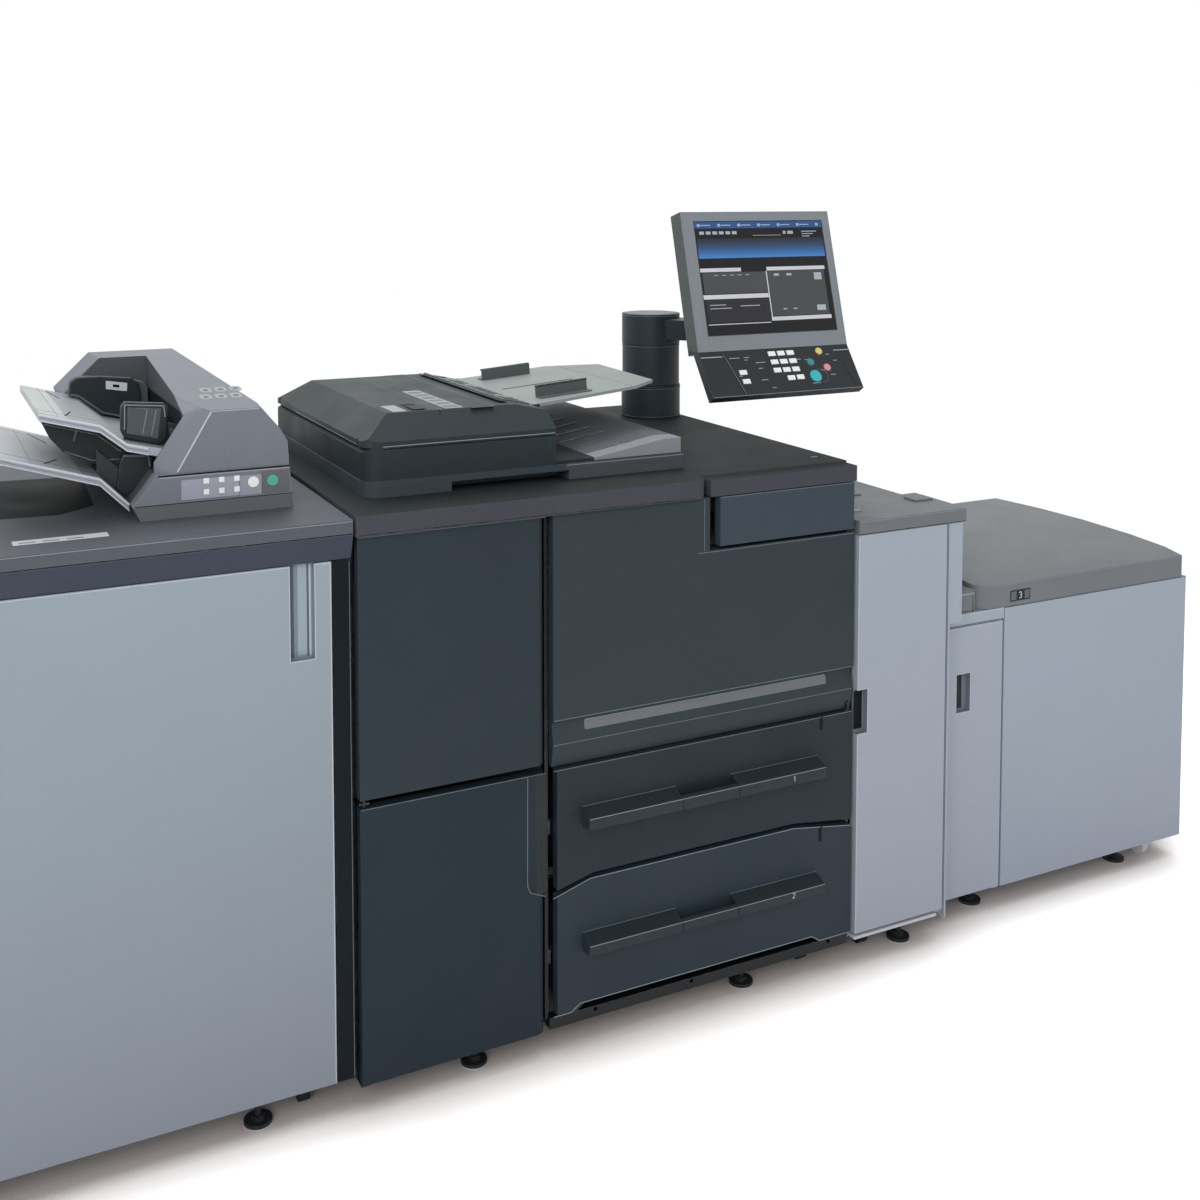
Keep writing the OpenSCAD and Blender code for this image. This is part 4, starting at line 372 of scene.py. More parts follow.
# nodes of more than one colour; some zones paint light and shade, as said beside them
nodeZones = {
    # the frame's front, seen in the gaps between the doors, is painted near black: painted shade in the gaps
    "engine_frame": [within("#0b0f12", "engine", y=(None, 34))],
    # the worktop's front and side faces are painted lighter than its top: painted light
    "engine_worktop": [looking("#42434a", (0, 0, 1), 0.75, 0.45)],
    "feeder_base": [within("#484a50", "engine", x=(425, None), y=(None, 112))],
    "feeder_output_plate": [
        within("#2a3033", "engine", x=(None, 484)), within("#85868e", "engine", x=(484, None), y=(None, 151))],
    # the cover's top and its left faces take tones of their own after how the light falls: painted light and shade
    "feeder_cover": [looking("#263032", (0, 0, 1), 0.93, 0.99), looking("#313c3a", (-1, 0, 0), 0.45, 0.62)],
    "panel_housing": [
        looking("#444c4c", (0, -0.9659, 0.2588), 0.9, 0.5), within("#23292d", "engine", z=(None, 1181))],
    # the arm's upward faces are painted lighter: painted light
    "panel_arm": [looking("#4f5756", (0, 0, 1), 0.7, 0.9)],
    "finisher_worktop": [
        within("#4c5058", "finisher", y=(None, 0.5)), within("#2f3643", "finisher", z=(None, 970.6))],
    # the door's grip recess is painted darker: painted shade
    "finisher_door": [within("#7b8793", "finisher", x=(660, 701), y=(12, None), z=(773, None))],
    # the frame's front beside the door is painted near black: painted shade in the gap
    "finisher_frame": [within("#141a20", "finisher", x=(729, None), y=(None, 39.9))],
    "inserter_housing": [
        within("#5d6064", "finisher", z=(None, 1019)),
        within("#9c9caa", "finisher", x=(518, 610), y=(None, 131), z=(1024, 1056)),
        within("#9494a1", "finisher", x=(611, 646.5), y=(None, 131), z=(1023, 1055)),
        within("#63656a", "finisher", x=(648, 693), y=(None, 131), z=(1021, 1060)),
        within("#4b4e53", "finisher", x=(None, 529), y=(163, 531)),
    ],
    "function_keys": [
        within("#e6e9ea", "engine", x=(None, 1000)), within("#2f8d90", "engine", x=(1110, 1145), z=(None, 1160))],
    "relay_cabinet": [
        within("#666a6e", "relay", z=(860.1, None)),
        within("#77777d", "relay", x=(-6, 270), y=(-8, -6.5), z=(860, None)),
    ],
    # the grip recess is painted dark: painted shade
    "relay_door": [within("#343b43", "relay", x=(None, 26), y=(-5, None), z=(468, 556))],
    "deck_cabinet": [within("#6a6e72", "deck", y=(None, 598), z=(651.1, None))],
    # the grip recess is painted dark: painted shade
    "deck_door": [within("#454c54", "deck", x=(58, 96), y=(1, None), z=(444, 526))],
    "inserter_trays": [
        looking("#8b9196", (0, 0, 1), 0.7, 0.9),
        within("#aab3b0", "finisher", x=(None, 352), y=(166, None), z=(1135, None)),
        within("#a9aeb3", "finisher", x=(None, 372), y=(166, None), z=(None, 1118)),
        within("#2f3539", "finisher", y=(204, 208)),
        within("#2f3539", "finisher", y=(489, 493)),
    ],
    "inserter_keys": [within("#4fae95", "finisher", x=(650, None))],
    "casters": [within("#b9bdc1", "deck", x=(600, None), y=(None, 200))],
}
# nodes that share a finish but are darker, lighter or duller in the photograph
nodeLooks = {
    # the engine's doors and drawers take darker and lighter copies of one finish, after how much light falls on each:
    # painted light and shade
    "left_upper_door": {"colour": "#283138"},
    "left_lower_door": {"colour": "#1e2830"},
    "front_door": {"colour": "#2e373d"},
    "toner_door": {"colour": "#37414a"},
    "drawer_1": {"colour": "#232b32"},
    "drawer_2": {"colour": "#29323a"},
    "feeder_base": {"colour": "#3a4248"},
    "feeder_guide_front": {"colour": "#4d5554"},
    "feeder_guide_rear": {"colour": "#4d5554"},
    "finisher_frame": {"specular": 0.06},
    "relay_door": {"colour": "#9ca5b1", "foot": "#979ca8"},
    # the deck door is lighter to make up for the shade the relay unit casts on it: painted light
    "deck_door": {"colour": "#a0a8b4", "foot": "#969daa"},
}
# width of the rounded edges, in millimetres
plainEdge = 0.8
edgeWidth = {
    "engine_worktop": 2.5, "finisher_worktop": 3, "left_upper_door": 1.5, "left_lower_door": 1.5, "front_door": 1.5,
    "toner_door": 1.5, "feeder_cover": 3, "feeder_housing": 2, "feeder_base": 2.5, "feeder_output_plate": 1.5,
    "feeder_input_tray": 1.5, "panel_housing": 1.5, "inserter_housing": 2.5, "inserter_trays": 1.5, "deck_lid": 3,
    "finisher_door": 1.5, "relay_door": 1.5, "deck_door": 1.5, "drawer_1": 1.2, "drawer_2": 1.2, "drawer_1_handle": 2,
    "drawer_2_handle": 2, "platen_glass": 0.4, "panel_screen": 0.3, "number_keys": 0.5, "function_keys": 0.5,
    "start_key": 0.5, "stop_key": 0.4, "inserter_keys": 0.4, "levelling_feet": 0.4, "casters": 0.5, "panel_post": 1.5,
    "panel_arm": 2,
}
nodeFinish = {part["node"]: part["material_slot"] for part in frame["record"]["subparts"]}
made = {}


def settingsOf(slot):
    kind, colour, roughness, *more = finishes[slot]
    return {**kind, "colour": colour, "roughness": roughness, **(more[0] if more else {})}


def finish(slot):
    if slot not in made:
        settings = settingsOf(slot)
        made[slot] = settings["build"](slot, settings)
    return made[slot]


def nodeMaterial(name):
    settings = settingsOf(nodeFinish[name])
    own = dict(nodeLooks.get(name, {}))
    if name in nodeZones:
        own["zones"] = nodeZones[name]
        if settings["build"] is softRubber:
            settings = {**plastic, "colour": settings["colour"]}
    if not own:
        return finish(nodeFinish[name])
    return settings["build"](name, {**settings, **own})


def roundEdges(piece, width):
    rim = piece.modifiers.new("edges", "BEVEL")
    rim.width = width * mm
    rim.segments = 2
    rim.limit_method = "ANGLE"
    rim.angle_limit = math.radians(32)


def softenNode(piece, width):
    # clean flat faces, rounded edges and face-weighted normals
    weld = piece.modifiers.new("weld", "WELD")
    weld.merge_threshold = 0.000002
    flat = piece.modifiers.new("flat", "DECIMATE")
    flat.decimate_type = "DISSOLVE"
    flat.angle_limit = math.radians(0.5)
    roundEdges(piece, width)
    even = piece.modifiers.new("even", "WEIGHTED_NORMAL")
    even.keep_sharp = False
    even.weight = 80


for name, piece in nodes.items():
    piece.data.materials.clear()
    piece.data.materials.append(nodeMaterial(name))
    softenNode(piece, edgeWidth.get(name, plainEdge))
print("finishes on", len(nodes), "nodes")

# drawing of the small pieces
bodyOf = {node: body for body, parts in frame["record"]["behaviour"]["bodies"].items() for node in parts}
# how far a small piece reaches into the face that carries it, and the width of its rounded edges
sink = 0.3
softRim = 0.15


def plane(origin, across, up):
    # a drawing plane in millimetres; its third way stands out of the face
    u, v = Vector(across).normalized(), Vector(up).normalized()
    turn = Matrix((u, v, u.cross(v))).transposed().to_4x4()
    return Matrix.Translation(origin) @ turn @ Matrix.Scale(mm, 4)


def front(unit, y):
    return plane(spot(unit, 0, y, 0), (1, 0, 0), (0, 0, 1))


def rear(unit, y):
    return plane(spot(unit, 0, y, 0), (-1, 0, 0), (0, 0, 1))


def above(unit, z):
    return plane(spot(unit, 0, 0, z), (1, 0, 0), (0, 1, 0))


def sideways(unit, x, way=1):
    return plane(spot(unit, x, 0, 0), (0, way, 0), (0, 0, 1))


def ring(cx, cz, r, steps):
    turns = [2 * math.pi * i / steps for i in range(steps)]
    return [(cx + r * math.cos(turn), cz + r * math.sin(turn)) for turn in turns]


def rect(x0, z0, x1, z1, r=0.0, steps=4):
    # a rectangle's outline, with round corners
    if r <= 0:
        return [(x0, z0), (x1, z0), (x1, z1), (x0, z1)]
    r = min(r, (x1 - x0) / 2, (z1 - z0) / 2)
    corners = [(x1 - r, z0 + r, -90), (x1 - r, z1 - r, 0), (x0 + r, z1 - r, 90), (x0 + r, z0 + r, 180)]
    return [(cx + r * math.cos(math.radians(a + 90 * i / steps)), cz + r * math.sin(math.radians(a + 90 * i / steps)))
            for cx, cz, a in corners for i in range(steps + 1)]


def stroke(points, width):
    # a line of some width, as one outline per leg
    legs = []
    for (ax, az), (bx, bz) in zip(points, points[1:]):
        length = math.hypot(bx - ax, bz - az)
        ox, oz = -(bz - az) / length * width / 2, (bx - ax) / length * width / 2
        legs.append([(ax - ox, az - oz), (bx - ox, bz - oz), (bx + ox, bz + oz), (ax + ox, az + oz)])
    return legs


def stack(bm, rings):
    # a closed skin through rings of as many points, given as (outline, height)
    levels = [[bm.verts.new((x, z, height)) for x, z in outline] for outline, height in rings]
    bm.faces.new(list(reversed(levels[0])))
    bm.faces.new(levels[-1])
    for lower, upper in zip(levels, levels[1:]):
        for i in range(len(lower)):
            j = (i + 1) % len(lower)
            bm.faces.new((lower[i], lower[j], upper[j], upper[i]))


def settle(name, node, material, at, bm, bevel=0):
    bmesh.ops.transform(bm, matrix=at, verts=bm.verts)
    bmesh.ops.recalc_face_normals(bm, faces=bm.faces)
    mesh = bpy.data.meshes.new(name)
    bm.to_mesh(mesh)
    bm.free()
    mesh.materials.append(finish(material))
    piece = bpy.data.objects.new(name, mesh)
    bpy.context.scene.collection.objects.link(piece)
    if bevel:
        roundEdges(piece, bevel)
    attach(piece, bodyOf[node])


def layered(name, node, material, at, parts, bevel=softRim):
    # parts are (outline, low, high); an outline of plain numbers is a rectangle's
    bm = bmesh.new()
    for outline, low, high in parts:
        points = rect(*outline) if isinstance(outline, tuple) else outline
        stack(bm, [(points, low), (points, high)])
    settle(name, node, material, at, bm, bevel)


def shape(name, node, material, at, outlines, high, bevel=softRim, low=-sink):
    layered(name, node, material, at, [(outline, low, high) for outline in outlines], bevel)


def draw(node, rows):
    # rows hold what shape takes, without the node
    for name, *row in rows:
        shape(name, node, *row)


def rounds(name, node, material, at, turns):
    # turned turns, each from its centre, its profile of (radius, height) and its steps
    bm = bmesh.new()
    for cx, cz, profile, steps in turns:
        stack(bm, [(ring(cx, cz, r, steps), height) for r, height in profile])
    settle(name, node, material, at, bm)


def screws(name, node, at, places, r=4.0):
    # low domed heads with a cross slot
    head = [(r, -0.5), (r, 0.6), (r * 0.8, 1.3), (r * 0.45, 1.6)]
    rounds(name, node, "zinc_screw", at, [(cx, cz, head, 20) for cx, cz in places])
    layered(name + "Slots", node, "seam_dark", at, [slot for cx, cz in places for slot in (
        ((cx - r * 0.5, cz - 0.5, cx + r * 0.5, cz + 0.5), 1.2, 1.7),
        ((cx - 0.5, cz - r * 0.5, cx + 0.5, cz + r * 0.5), 1.2, 1.72))], 0)


def numeral(name, node, material, at, which, cx, cz, height, width, high):
    # the plain numbers on the drawers and the deck
    h, w = height / 2, height * 0.27
    arc = [(w * math.cos(math.radians(a)), h * 0.48 + h * 0.52 * math.sin(math.radians(a)))
           for a in range(160, -70, -23)]
    lower = [(0, 0), (w * 0.8, -h * 0.15), (w, -h * 0.5), (w * 0.7, -h * 0.88), (0, -h), (-w * 0.8, -h * 0.8)]
    lines = {
        1: [[(-w * 0.7, h * 0.62), (0, h), (0, -h)]],
        2: [arc + [(-w, -h + width / 2), (w, -h + width / 2)]],
        3: [arc[:-1] + [(0, 0)], lower],
    }[which]
    legs = [leg for line in lines for leg in stroke(line, width)]
    legs += [ring(x, z, width / 2, 10) for line in lines for x, z in line[1:-1]]
    layered(name, node, material, at, [([(cx + x, cz + z) for x, z in leg], -0.2, high + 0.01 * i / len(legs))
                                       for i, leg in enumerate(legs)], 0)


def engineFront():
    s = {"line": 1.3, "proud": 0.35, "gripBand": (1, 560.5), "gripFoot": (10, 519), "toner": -4, "lip": -10,
         "top": 1000}
    face = front("engine", 0)
    proud = s["proud"]
    # painted highlights: thin light lines along the edges of the doors and drawer fronts
    draw("front_door", [
        ("doorFootLine", "edge_soft", face, [(351, 602.6, 987, 604.2)], proud),
        ("tonerSillLine", "edge_soft", face, [(640, 863.4, 987, 865.0), (652, 868, 653.4, 962)], proud)])
    # a light grey inlay strip on the grip band; the light lines along its top edge and along the band's lower fold are
    # painted highlights
    band = plane(spot("engine", 0, *s["gripBand"]), (1, 0, 0), (0, 7, 35.5))
    draw("front_door", [
        ("gripStrip", "strip_grey", band, [(412, 17, 928, 33.5, 3)], 0.5, 0.3),
        ("gripStripEdge", "edge_light", band, [(414, 33.6, 926, 34.8)], 0.45)])
    lower = plane(spot("engine", 0, *s["gripFoot"]), (1, 0, 0), (0, -9, 41.5))
    shape("gripBandFoot", "front_door", "edge_soft", lower, [(351, 40.6, 987, 42.2)], 0.3)
    # the light lines along the drawer fronts' upper edges and along the lower drawer's foot are painted highlights
    draw("drawer_1", [
        ("drawer1Lines", "edge_soft", face, [(350, 513.9, 914, 515.3), (919, 513.9, 986, 515.5)], proud),
        ("drawer1Tick", "seam_dark", face, [(910, 490, 919, 516)], 0.2)])
    draw("drawer_2", [
        ("drawer2Lines", "edge_light", face,
            stroke([(349, 287.6), (421, 308.6), (852, 308.6), (914, 299.2)], s["line"])
            + stroke([(920, 298.3), (987, 288)], s["line"]), proud),
        ("drawer2Tick", "seam_dark", face, [(910, 270, 919, 298.6)], 0.2),
        ("drawer2Foot", "edge_light", face,
            stroke([(349, 74), (383, 74), (401, 86), (897, 86), (915, 74), (987, 74)], 1.6), proud)])
    # the light lines along the left doors' edges are painted highlights
    shape("upperLeftEdge", "left_upper_door", "edge_soft", face, [(5, 962.4, 335, 963.8)], 0.3)
    shape("lowerLeftEdge", "left_lower_door", "edge_soft", face, [(5, 514, 335, 515.2)], 0.3)
    # hand hold on the right edge of the lower left door: a light line that is a painted highlight, and a dark line and
    # band that paint the shade in its curve
    draw("left_lower_door", [
        ("lowerLeftGrip", "edge_soft", face, stroke([(301, 513), (300, 322), (306, 308), (334, 296)], 1.6), 0.35),
        ("lowerLeftGripShade", "seam_dark", face, stroke([(303, 513), (302, 324), (308, 311), (334, 299.6)], 1.8),
            0.2),
        ("lowerLeftGripBand", "deep_grey", face, [(318, 304, 335, 512.6, 2)], 0.25)])
    # the light line along the toner door's top edge is a painted highlight
    shape("tonerTopEdge", "toner_door", "edge_soft", front("engine", s["toner"]), [(685, 962.6, 983, 963.9)], 0.2)
    # worktop: its front edge has a fine line under the lip, and a stop slot near the right end
    top = above("engine", s["top"])
    draw("engine_worktop", [
        ("worktopLine", "seam_dark", front("engine", s["lip"]), [(3, 968, 628, 969.4)], 0.12),
        ("worktopSlot", "seam_dark", top, [(938, 80, 972, 90, 4)], 0.3),
        ("worktopSlotPad", "edge_light", top, [(944, 83, 962, 87, 2)], 0.9)])


def handleLines():
    s = {"proud": 0.03, "from": 406, "to": 905, "finger": (594.4, 712.4), "bar": -30}
    start, end, (fingerStart, fingerEnd) = s["from"], s["to"], s["finger"]
    bar = front("engine", s["bar"])
    face = front("engine", 0)
    for drawer, z, h, label in (("drawer_1", 406, 35, 1), ("drawer_2", 181, 32, 2)):
        node = drawer + "_handle"
        top, rim = z + h - 10, z + h
        # along each handle, the two thin light lines are painted highlights and the dark strip under it is its painted
        # shadow
        shape(node + "Line", node, "edge_light", bar, [(start, top - 2.2, end, top - 0.9)], s["proud"])
        draw(drawer, [
            (node + "Rear", "edge_soft", face,
                [(start, rim + 0.3, fingerStart, rim + 1.6), (fingerEnd, rim + 0.3, end, rim + 1.6)], 0.5),
            (node + "Shadow", "seam_dark", face, [(start, z - 3.5, end, z - 0.5)], 0.2)])
        numeral("number" + str(label), node, "mark_grey", bar, label, 834, z + 14.5, 10, 1.5, s["proud"])


def feederLooks():
    s = {"top": 1135.3, "front": 105, "left": 51, "throat": 405, "tray": (418, 225, 1116.3), "trayRise": 4.5}
    lid = above("engine", s["top"])
    face = front("engine", s["front"])
    left = sideways("engine", s["left"])
    draw("feeder_cover", [
        ("coverSeam", "seam_dark", lid, [(203, 152, 204.6, 652)], 0.25),
        ("coverSeamEdge", "edge_soft", lid, [(205, 152, 206, 652)], 0.3),
        ("coverBand", "deep_grey", lid, [(262, 152, 304, 652)], 0.3),
        ("coverBandEdge", "edge_soft", lid, [(304.6, 152, 306, 652)], 0.4),
        ("coverPlate", "blank_dull", lid, [(218, 168, 252, 408, 2)], 0.35),
        ("coverPlateMarks", "edge_soft", lid, [(222, 176 + 38 * i, 248, 202 + 38 * i, 3) for i in range(6)], 0.5),
        ("coverSmallPlate", "blank_dull", lid, [(122, 170, 148, 244, 2)], 0.35)])
    # latch: a sunk dark finger plate with its lever
    draw("feeder_cover", [
        ("latchPlate", "seam_dark", lid, [(156, 166, 186, 250, 4)], 0.3),
        ("latchLever", "deep_grey", lid, [(160, 172, 182, 214, 4)], 2.4, 0.8)])
    # the mechanics under the cover's right slope, beside the input tray
    slope = plane(spot("engine", 349, 0, s["top"]), (56, 0, -12.5), (0, 1, 0))
    draw("feeder_cover", [
        ("mouthPlate", "guide_black", slope, [(-20, 186, 55, 628, 4)], 0.5, 0.3),
        ("mouthRibs", "guide_grey", slope,
            [(4, 206 + 26 * i, 50, 212 + 26 * i, 2) for i in range(16)], 3.2, 0.6, -0.2),
        ("mouthBar", "guide_grey", slope, [(-12, 192, -4, 622, 3)], 4.0, 1.0, -0.2),
        ("mouthClips", "blank_dull", slope, [(10, z, 36, z + 20, 3) for z in (268, 430, 534)], 4.6, 0.8, -0.2)])
    # lower rim of the cover, with light lines along it that are painted highlights, and the seams round the housing;
    # the light lines along the base are painted highlights too, and the dark strip under the housing paints the shade
    # in its recess
    draw("feeder_cover", [
        ("rimLine", "edge_light", face, [(82, 1086.6, 403, 1088.2)], 0.35),
        ("rimLineLeft", "edge_light", left, [(154, 1086.6, 560, 1087.8)], 0.3, 0.15, -0.35)])
    draw("feeder_housing", [
        ("housingSeam", "seam_dark", face, [(82, 1081.5, 404, 1084.6)], 0.15),
        ("housingCap", "deep_grey", face, [(391, 1032, 392.4, 1081)], 0.25)])
    draw("feeder_base", [
        ("baseLine", "edge_light", face, [(426, 1025.6, 668, 1027.2)], 0.35),
        ("baseLineLeft", "edge_soft", left, [(136, 1026.2, 703, 1027.4)], 0.3),
        ("recessRoof", "seam_dark", face, [(206, 1015.8, 430, 1017.6)], 0.2)])
    # output side: dark throat with guide fingers
    throat = sideways("engine", s["throat"])
    draw("feeder_housing", [
        ("throatPlate", "seam_dark", throat, [(130, 1044, 214, 1076, 3)], 0.6),
        ("throatFingers", "guide_grey", throat, [(236 + 48 * i, 1074.8, 250 + 48 * i, 1084, 2) for i in range(8)],
            6.0, 0.6)])
    # ribs and wells on the input tray, and caps lifted on its guides
    rise = math.radians(s["trayRise"])
    tray = plane(spot("engine", *s["tray"]), (math.cos(rise), 0, math.sin(rise)), (0, 1, 0))
    draw("feeder_input_tray", [
        ("traySlot", "seam_dark", tray, [(18, 199, 176, 206, 3)], 6.15, 0.15, 5.6),
        ("trayMarks", "edge_light", tray, [(150 + 22 * i, 150, 152 + 22 * i, 166) for i in range(6)]
            + [(190 + 26 * i, 262, 192 + 26 * i, 282) for i in range(4)], 6.2, 0.15, 5.6),
        ("trayEdge", "mark_grey", tray, stroke([(2, 1.2), (226, 25.4), (283, 61)], 1.6), 6.3, 0.15, 5.4),
        ("traySeam", "edge_soft", tray, [(222, 30, 224, 384)], 6.12, 0.15, 5.6)])
    for name, y in (("feeder_guide_front", 63), ("feeder_guide_rear", 342)):
        shape(name + "Cap", name, "guide_black", tray, [(30, y - 2, 140, y + 5, 1.5)], 29.4, 0.6, 26)
    plate = plane(spot("engine", 485, 0, 1035.3), (143, 0, 23), (0, 1, 0))
    shape("outputRibs", "feeder_output_plate", "guide_grey", plate,
        [(6, 150 + 60 * i, 100, 154 + 60 * i, 2) for i in range(8)], 1.4, 0.5)


# the operation panel: its centre, its lean, the key tray's lean and distance below the centre, and its depth
panel = {"at": (1057, 420, 1328), "tilt": 15, "slant": 35, "edge": 154, "deep": 42}


def screenPicture():
    # a generic screen: menu bar, glowing band, four fields with their light headings
    s = {"left": -161.4, "top": 131.4, "width": 332.8, "height": 248.8, "under": -1.4, "levels": (-0.8, -0.6, -0.45)}
    x, y, z = panel["at"]
    tilt = math.radians(panel["tilt"])
    up = (0, math.sin(tilt), math.cos(tilt))
    at = plane(spot("engine", x, y, z), (1, 0, 0), up)
    under, (back, first, second) = s["under"], s["levels"]

    def field(s0, t0, s1, t1):
        # shares of the screen's width from the left and of its height from the top
        left, top, w, h = s["left"], s["top"], s["width"], s["height"]
        return left + s0 * w, top - t1 * h, left + s1 * w, top - t0 * h

    draw("panel_screen", [
        ("screenBack", "ui_black", at, [field(0, 0, 1, 1)], back, 0, under),
        ("screenMenu", "ui_blue", at, [field(0, 0, 1, 0.058)], first, 0, under),
        ("screenGlow", "ui_glow", at, [field(0.005, 0.15, 0.995, 0.325)], first, 0, under),
        ("screenFields", "ui_panel", at, [field(0.012, 0.452, 0.498, 0.64), field(0.512, 0.452, 0.965, 0.855)],
            first, 0, under),
        ("screenDeep", "ui_deep", at, [field(0.012, 0.692, 0.498, 0.895)], first, 0, under),
        ("screenHeads", "ui_light", at, [field(0, 0.413, 0.31, 0.446), field(0.51, 0.413, 0.975, 0.446),
            field(0.0, 0.648, 0.498, 0.686), field(0.498, 0.862, 0.975, 0.896), field(0.012, 0.905, 0.49, 0.912),
            field(0.5, 0.45, 0.508, 0.862)], first, 0, under)])
    marks = [field(0.02 + 0.155 * i, 0.018, 0.04 + 0.155 * i, 0.042) for i in range(7)]
    marks += [field(0.045 + 0.155 * i, 0.026, 0.12 + 0.155 * i, 0.034) for i in range(6)]
    marks += [field(0.03 + 0.05 * i, 0.085, 0.065 + 0.05 * i, 0.112) for i in range(6)]
    marks += [field(0.44, 0.123, 0.66, 0.127), field(0.68, 0.088, 0.70, 0.115), field(0.715, 0.088, 0.76, 0.115)]
    marks += [field(0.83, 0.09 + 0.022 * i, 0.95 - 0.03 * i, 0.097 + 0.022 * i) for i in range(3)]
    marks += [field(0.56 + 0.10 * i, 0.475, 0.60 + 0.10 * i, 0.495) for i in range(2)]
    marks += [field(0.88, 0.475, 0.94, 0.54)]
    marks += [field(0.04, 0.735, 0.16, 0.742), field(0.04, 0.765, 0.2, 0.772), field(0.27, 0.75, 0.42, 0.757)]
    marks += [field(0.87, 0.77, 0.94, 0.82), field(0.60, 0.79, 0.63, 0.80), field(0.68, 0.79, 0.71, 0.80)]
    marks += [field(0.1 + 0.06 * i, 0.475, 0.13 + 0.06 * i, 0.481) for i in range(5)]
    shape("screenMarks", "panel_screen", "ui_mark", at, marks, second, 0, under)
    draw("panel_housing", [
        ("bezelStep", "seam_dark", at,
            stroke([(-162.8, 132.8), (172.8, 132.8), (172.8, -118.8), (-162.8, -118.8), (-162.8, 132.8)], 1.2),
            0.12, 0),
        ("bezelRim", "edge_light", at,
            stroke([(-189.5, -150), (-189.5, 150.5), (189.5, 150.5), (189.5, -150)], 1.0), 0.25, 0)])
    deep = panel["deep"]
    back = plane(spot("engine", x, y + deep * math.cos(tilt), z - deep * math.sin(tilt)), (-1, 0, 0), up)
    draw("panel_housing", [
        ("panelBack", "deep_grey", back,
            [(-170, 8, 170, 132, 16), (-150, -136, -60, -60, 10), (60, -136, 150, -60, 10)], 3, 1.2, -0.5),
        ("panelVents", "seam_dark", back, [(-70, 60 + 7 * i, 70, 62.6 + 7 * i, 1.2) for i in range(8)], 3.3, 0, 2.5)])
    screws("panelScrews", "panel_housing", back, [(-178, 140), (178, 140), (-178, -120), (178, -120)], 3)


def keyTray():
    x, y, z = panel["at"]
    tilt, slant, edge = math.radians(panel["tilt"]), math.radians(panel["slant"]), panel["edge"]
    corner = spot("engine", x, y - edge * math.sin(tilt), z - edge * math.cos(tilt))
    at = plane(corner, (1, 0, 0), (0, math.sin(slant), math.cos(slant)))
    draw("panel_housing", [
        # the bright and light lines on the tray's hinge, step and foot are painted highlights
        ("trayHingeLines", "edge_bright", at, [(-191, -12.6, -138, -11, 0.7), (150, -12.6, 191, -11, 0.7)], 0.6, 0),
        ("trayStep", "seam_dark", at, stroke([(-138, -9), (-132, -20), (-112, -104)], 1.6)
            + stroke([(150, -9), (156, -20), (176, -104)], 1.6), 0.2, 0),
        ("trayStepLight", "edge_light", at, stroke([(-135.6, -9), (-129.6, -20), (-109.6, -104)], 1.0), 0.3, 0),
        ("trayFootLine", "edge_light", at, [(-190, -106.6, 190, -105.4)], 0.3, 0)])
    # dashes by their left end, top and length, and the rims of the round keys
    dashes = [(-122, -16, 26), (-86, -16, 14), (-86, -22, 8), (-60, -30, 24), (-58, -44, 12), (-112, -60, 8),
              (-60, -72, 16), (-40, -92, 10), (45, -28, 12), (66, -30, 10), (126, -20, 10), (100, -58, 10),
              (66, -88, 20), (120, -70, 14), (140, -36, 10), (-22, -12, 8), (6, -12, 8)]
    shape("trayMarks", "panel_housing", "mark_grey", at,
        [(u, v - 1.4, u + long, v, 0.5) for u, v, long in dashes], 0.15, 0)
    keys = [(95.6, -72.0, 16.6), (78.7, -37.5, 10.2), (117.3, -52.9, 10.2), (110.8, -11.9, 9.9)]
    rounds("keyRings", "panel_housing", "edge_soft", at, [
        (cx, cz, [(r, -0.3), (r, 0.3), (r - 0.9, 0.3), (r - 0.9, -0.3)], 36) for cx, cz, r in keys])


def postLooks():
    s = {"at": (920, 690), "steps": 64}
    axis = above("engine", 0)

    def hoops(name, node, material, rows, deep=6):
        # flat hoops round the post, by their height, thickness and radius
        rounds(name, node, material, axis, [
            (*s["at"], [(r - deep, z), (r, z), (r, z + h), (r - deep, z + h)], s["steps"]) for z, h, r in rows])

    hoops("postRings", "panel_post", "seam_dark", [(1003, 2.2, 68.6), (1071, 1.4, 68.5), (1168, 1.2, 66.4)])
    # the light rings beside the grooves are painted highlights
    hoops("postRingLights", "panel_post", "edge_soft", [(1005.4, 1.2, 68.7), (1069.2, 1.2, 68.7), (1166.2, 1.2, 66.6)])
    hoops("postCapRing", "panel_arm", "edge_soft", [(1236, 1.6, 67.3)], 5)
    cap = [(62, 1240.1), (62, 1240.9), (58, 1241.4), (6, 1241.4)]
    rounds("postCap", "panel_arm", "guide_grey", axis, [(*s["at"], cap, s["steps"])])


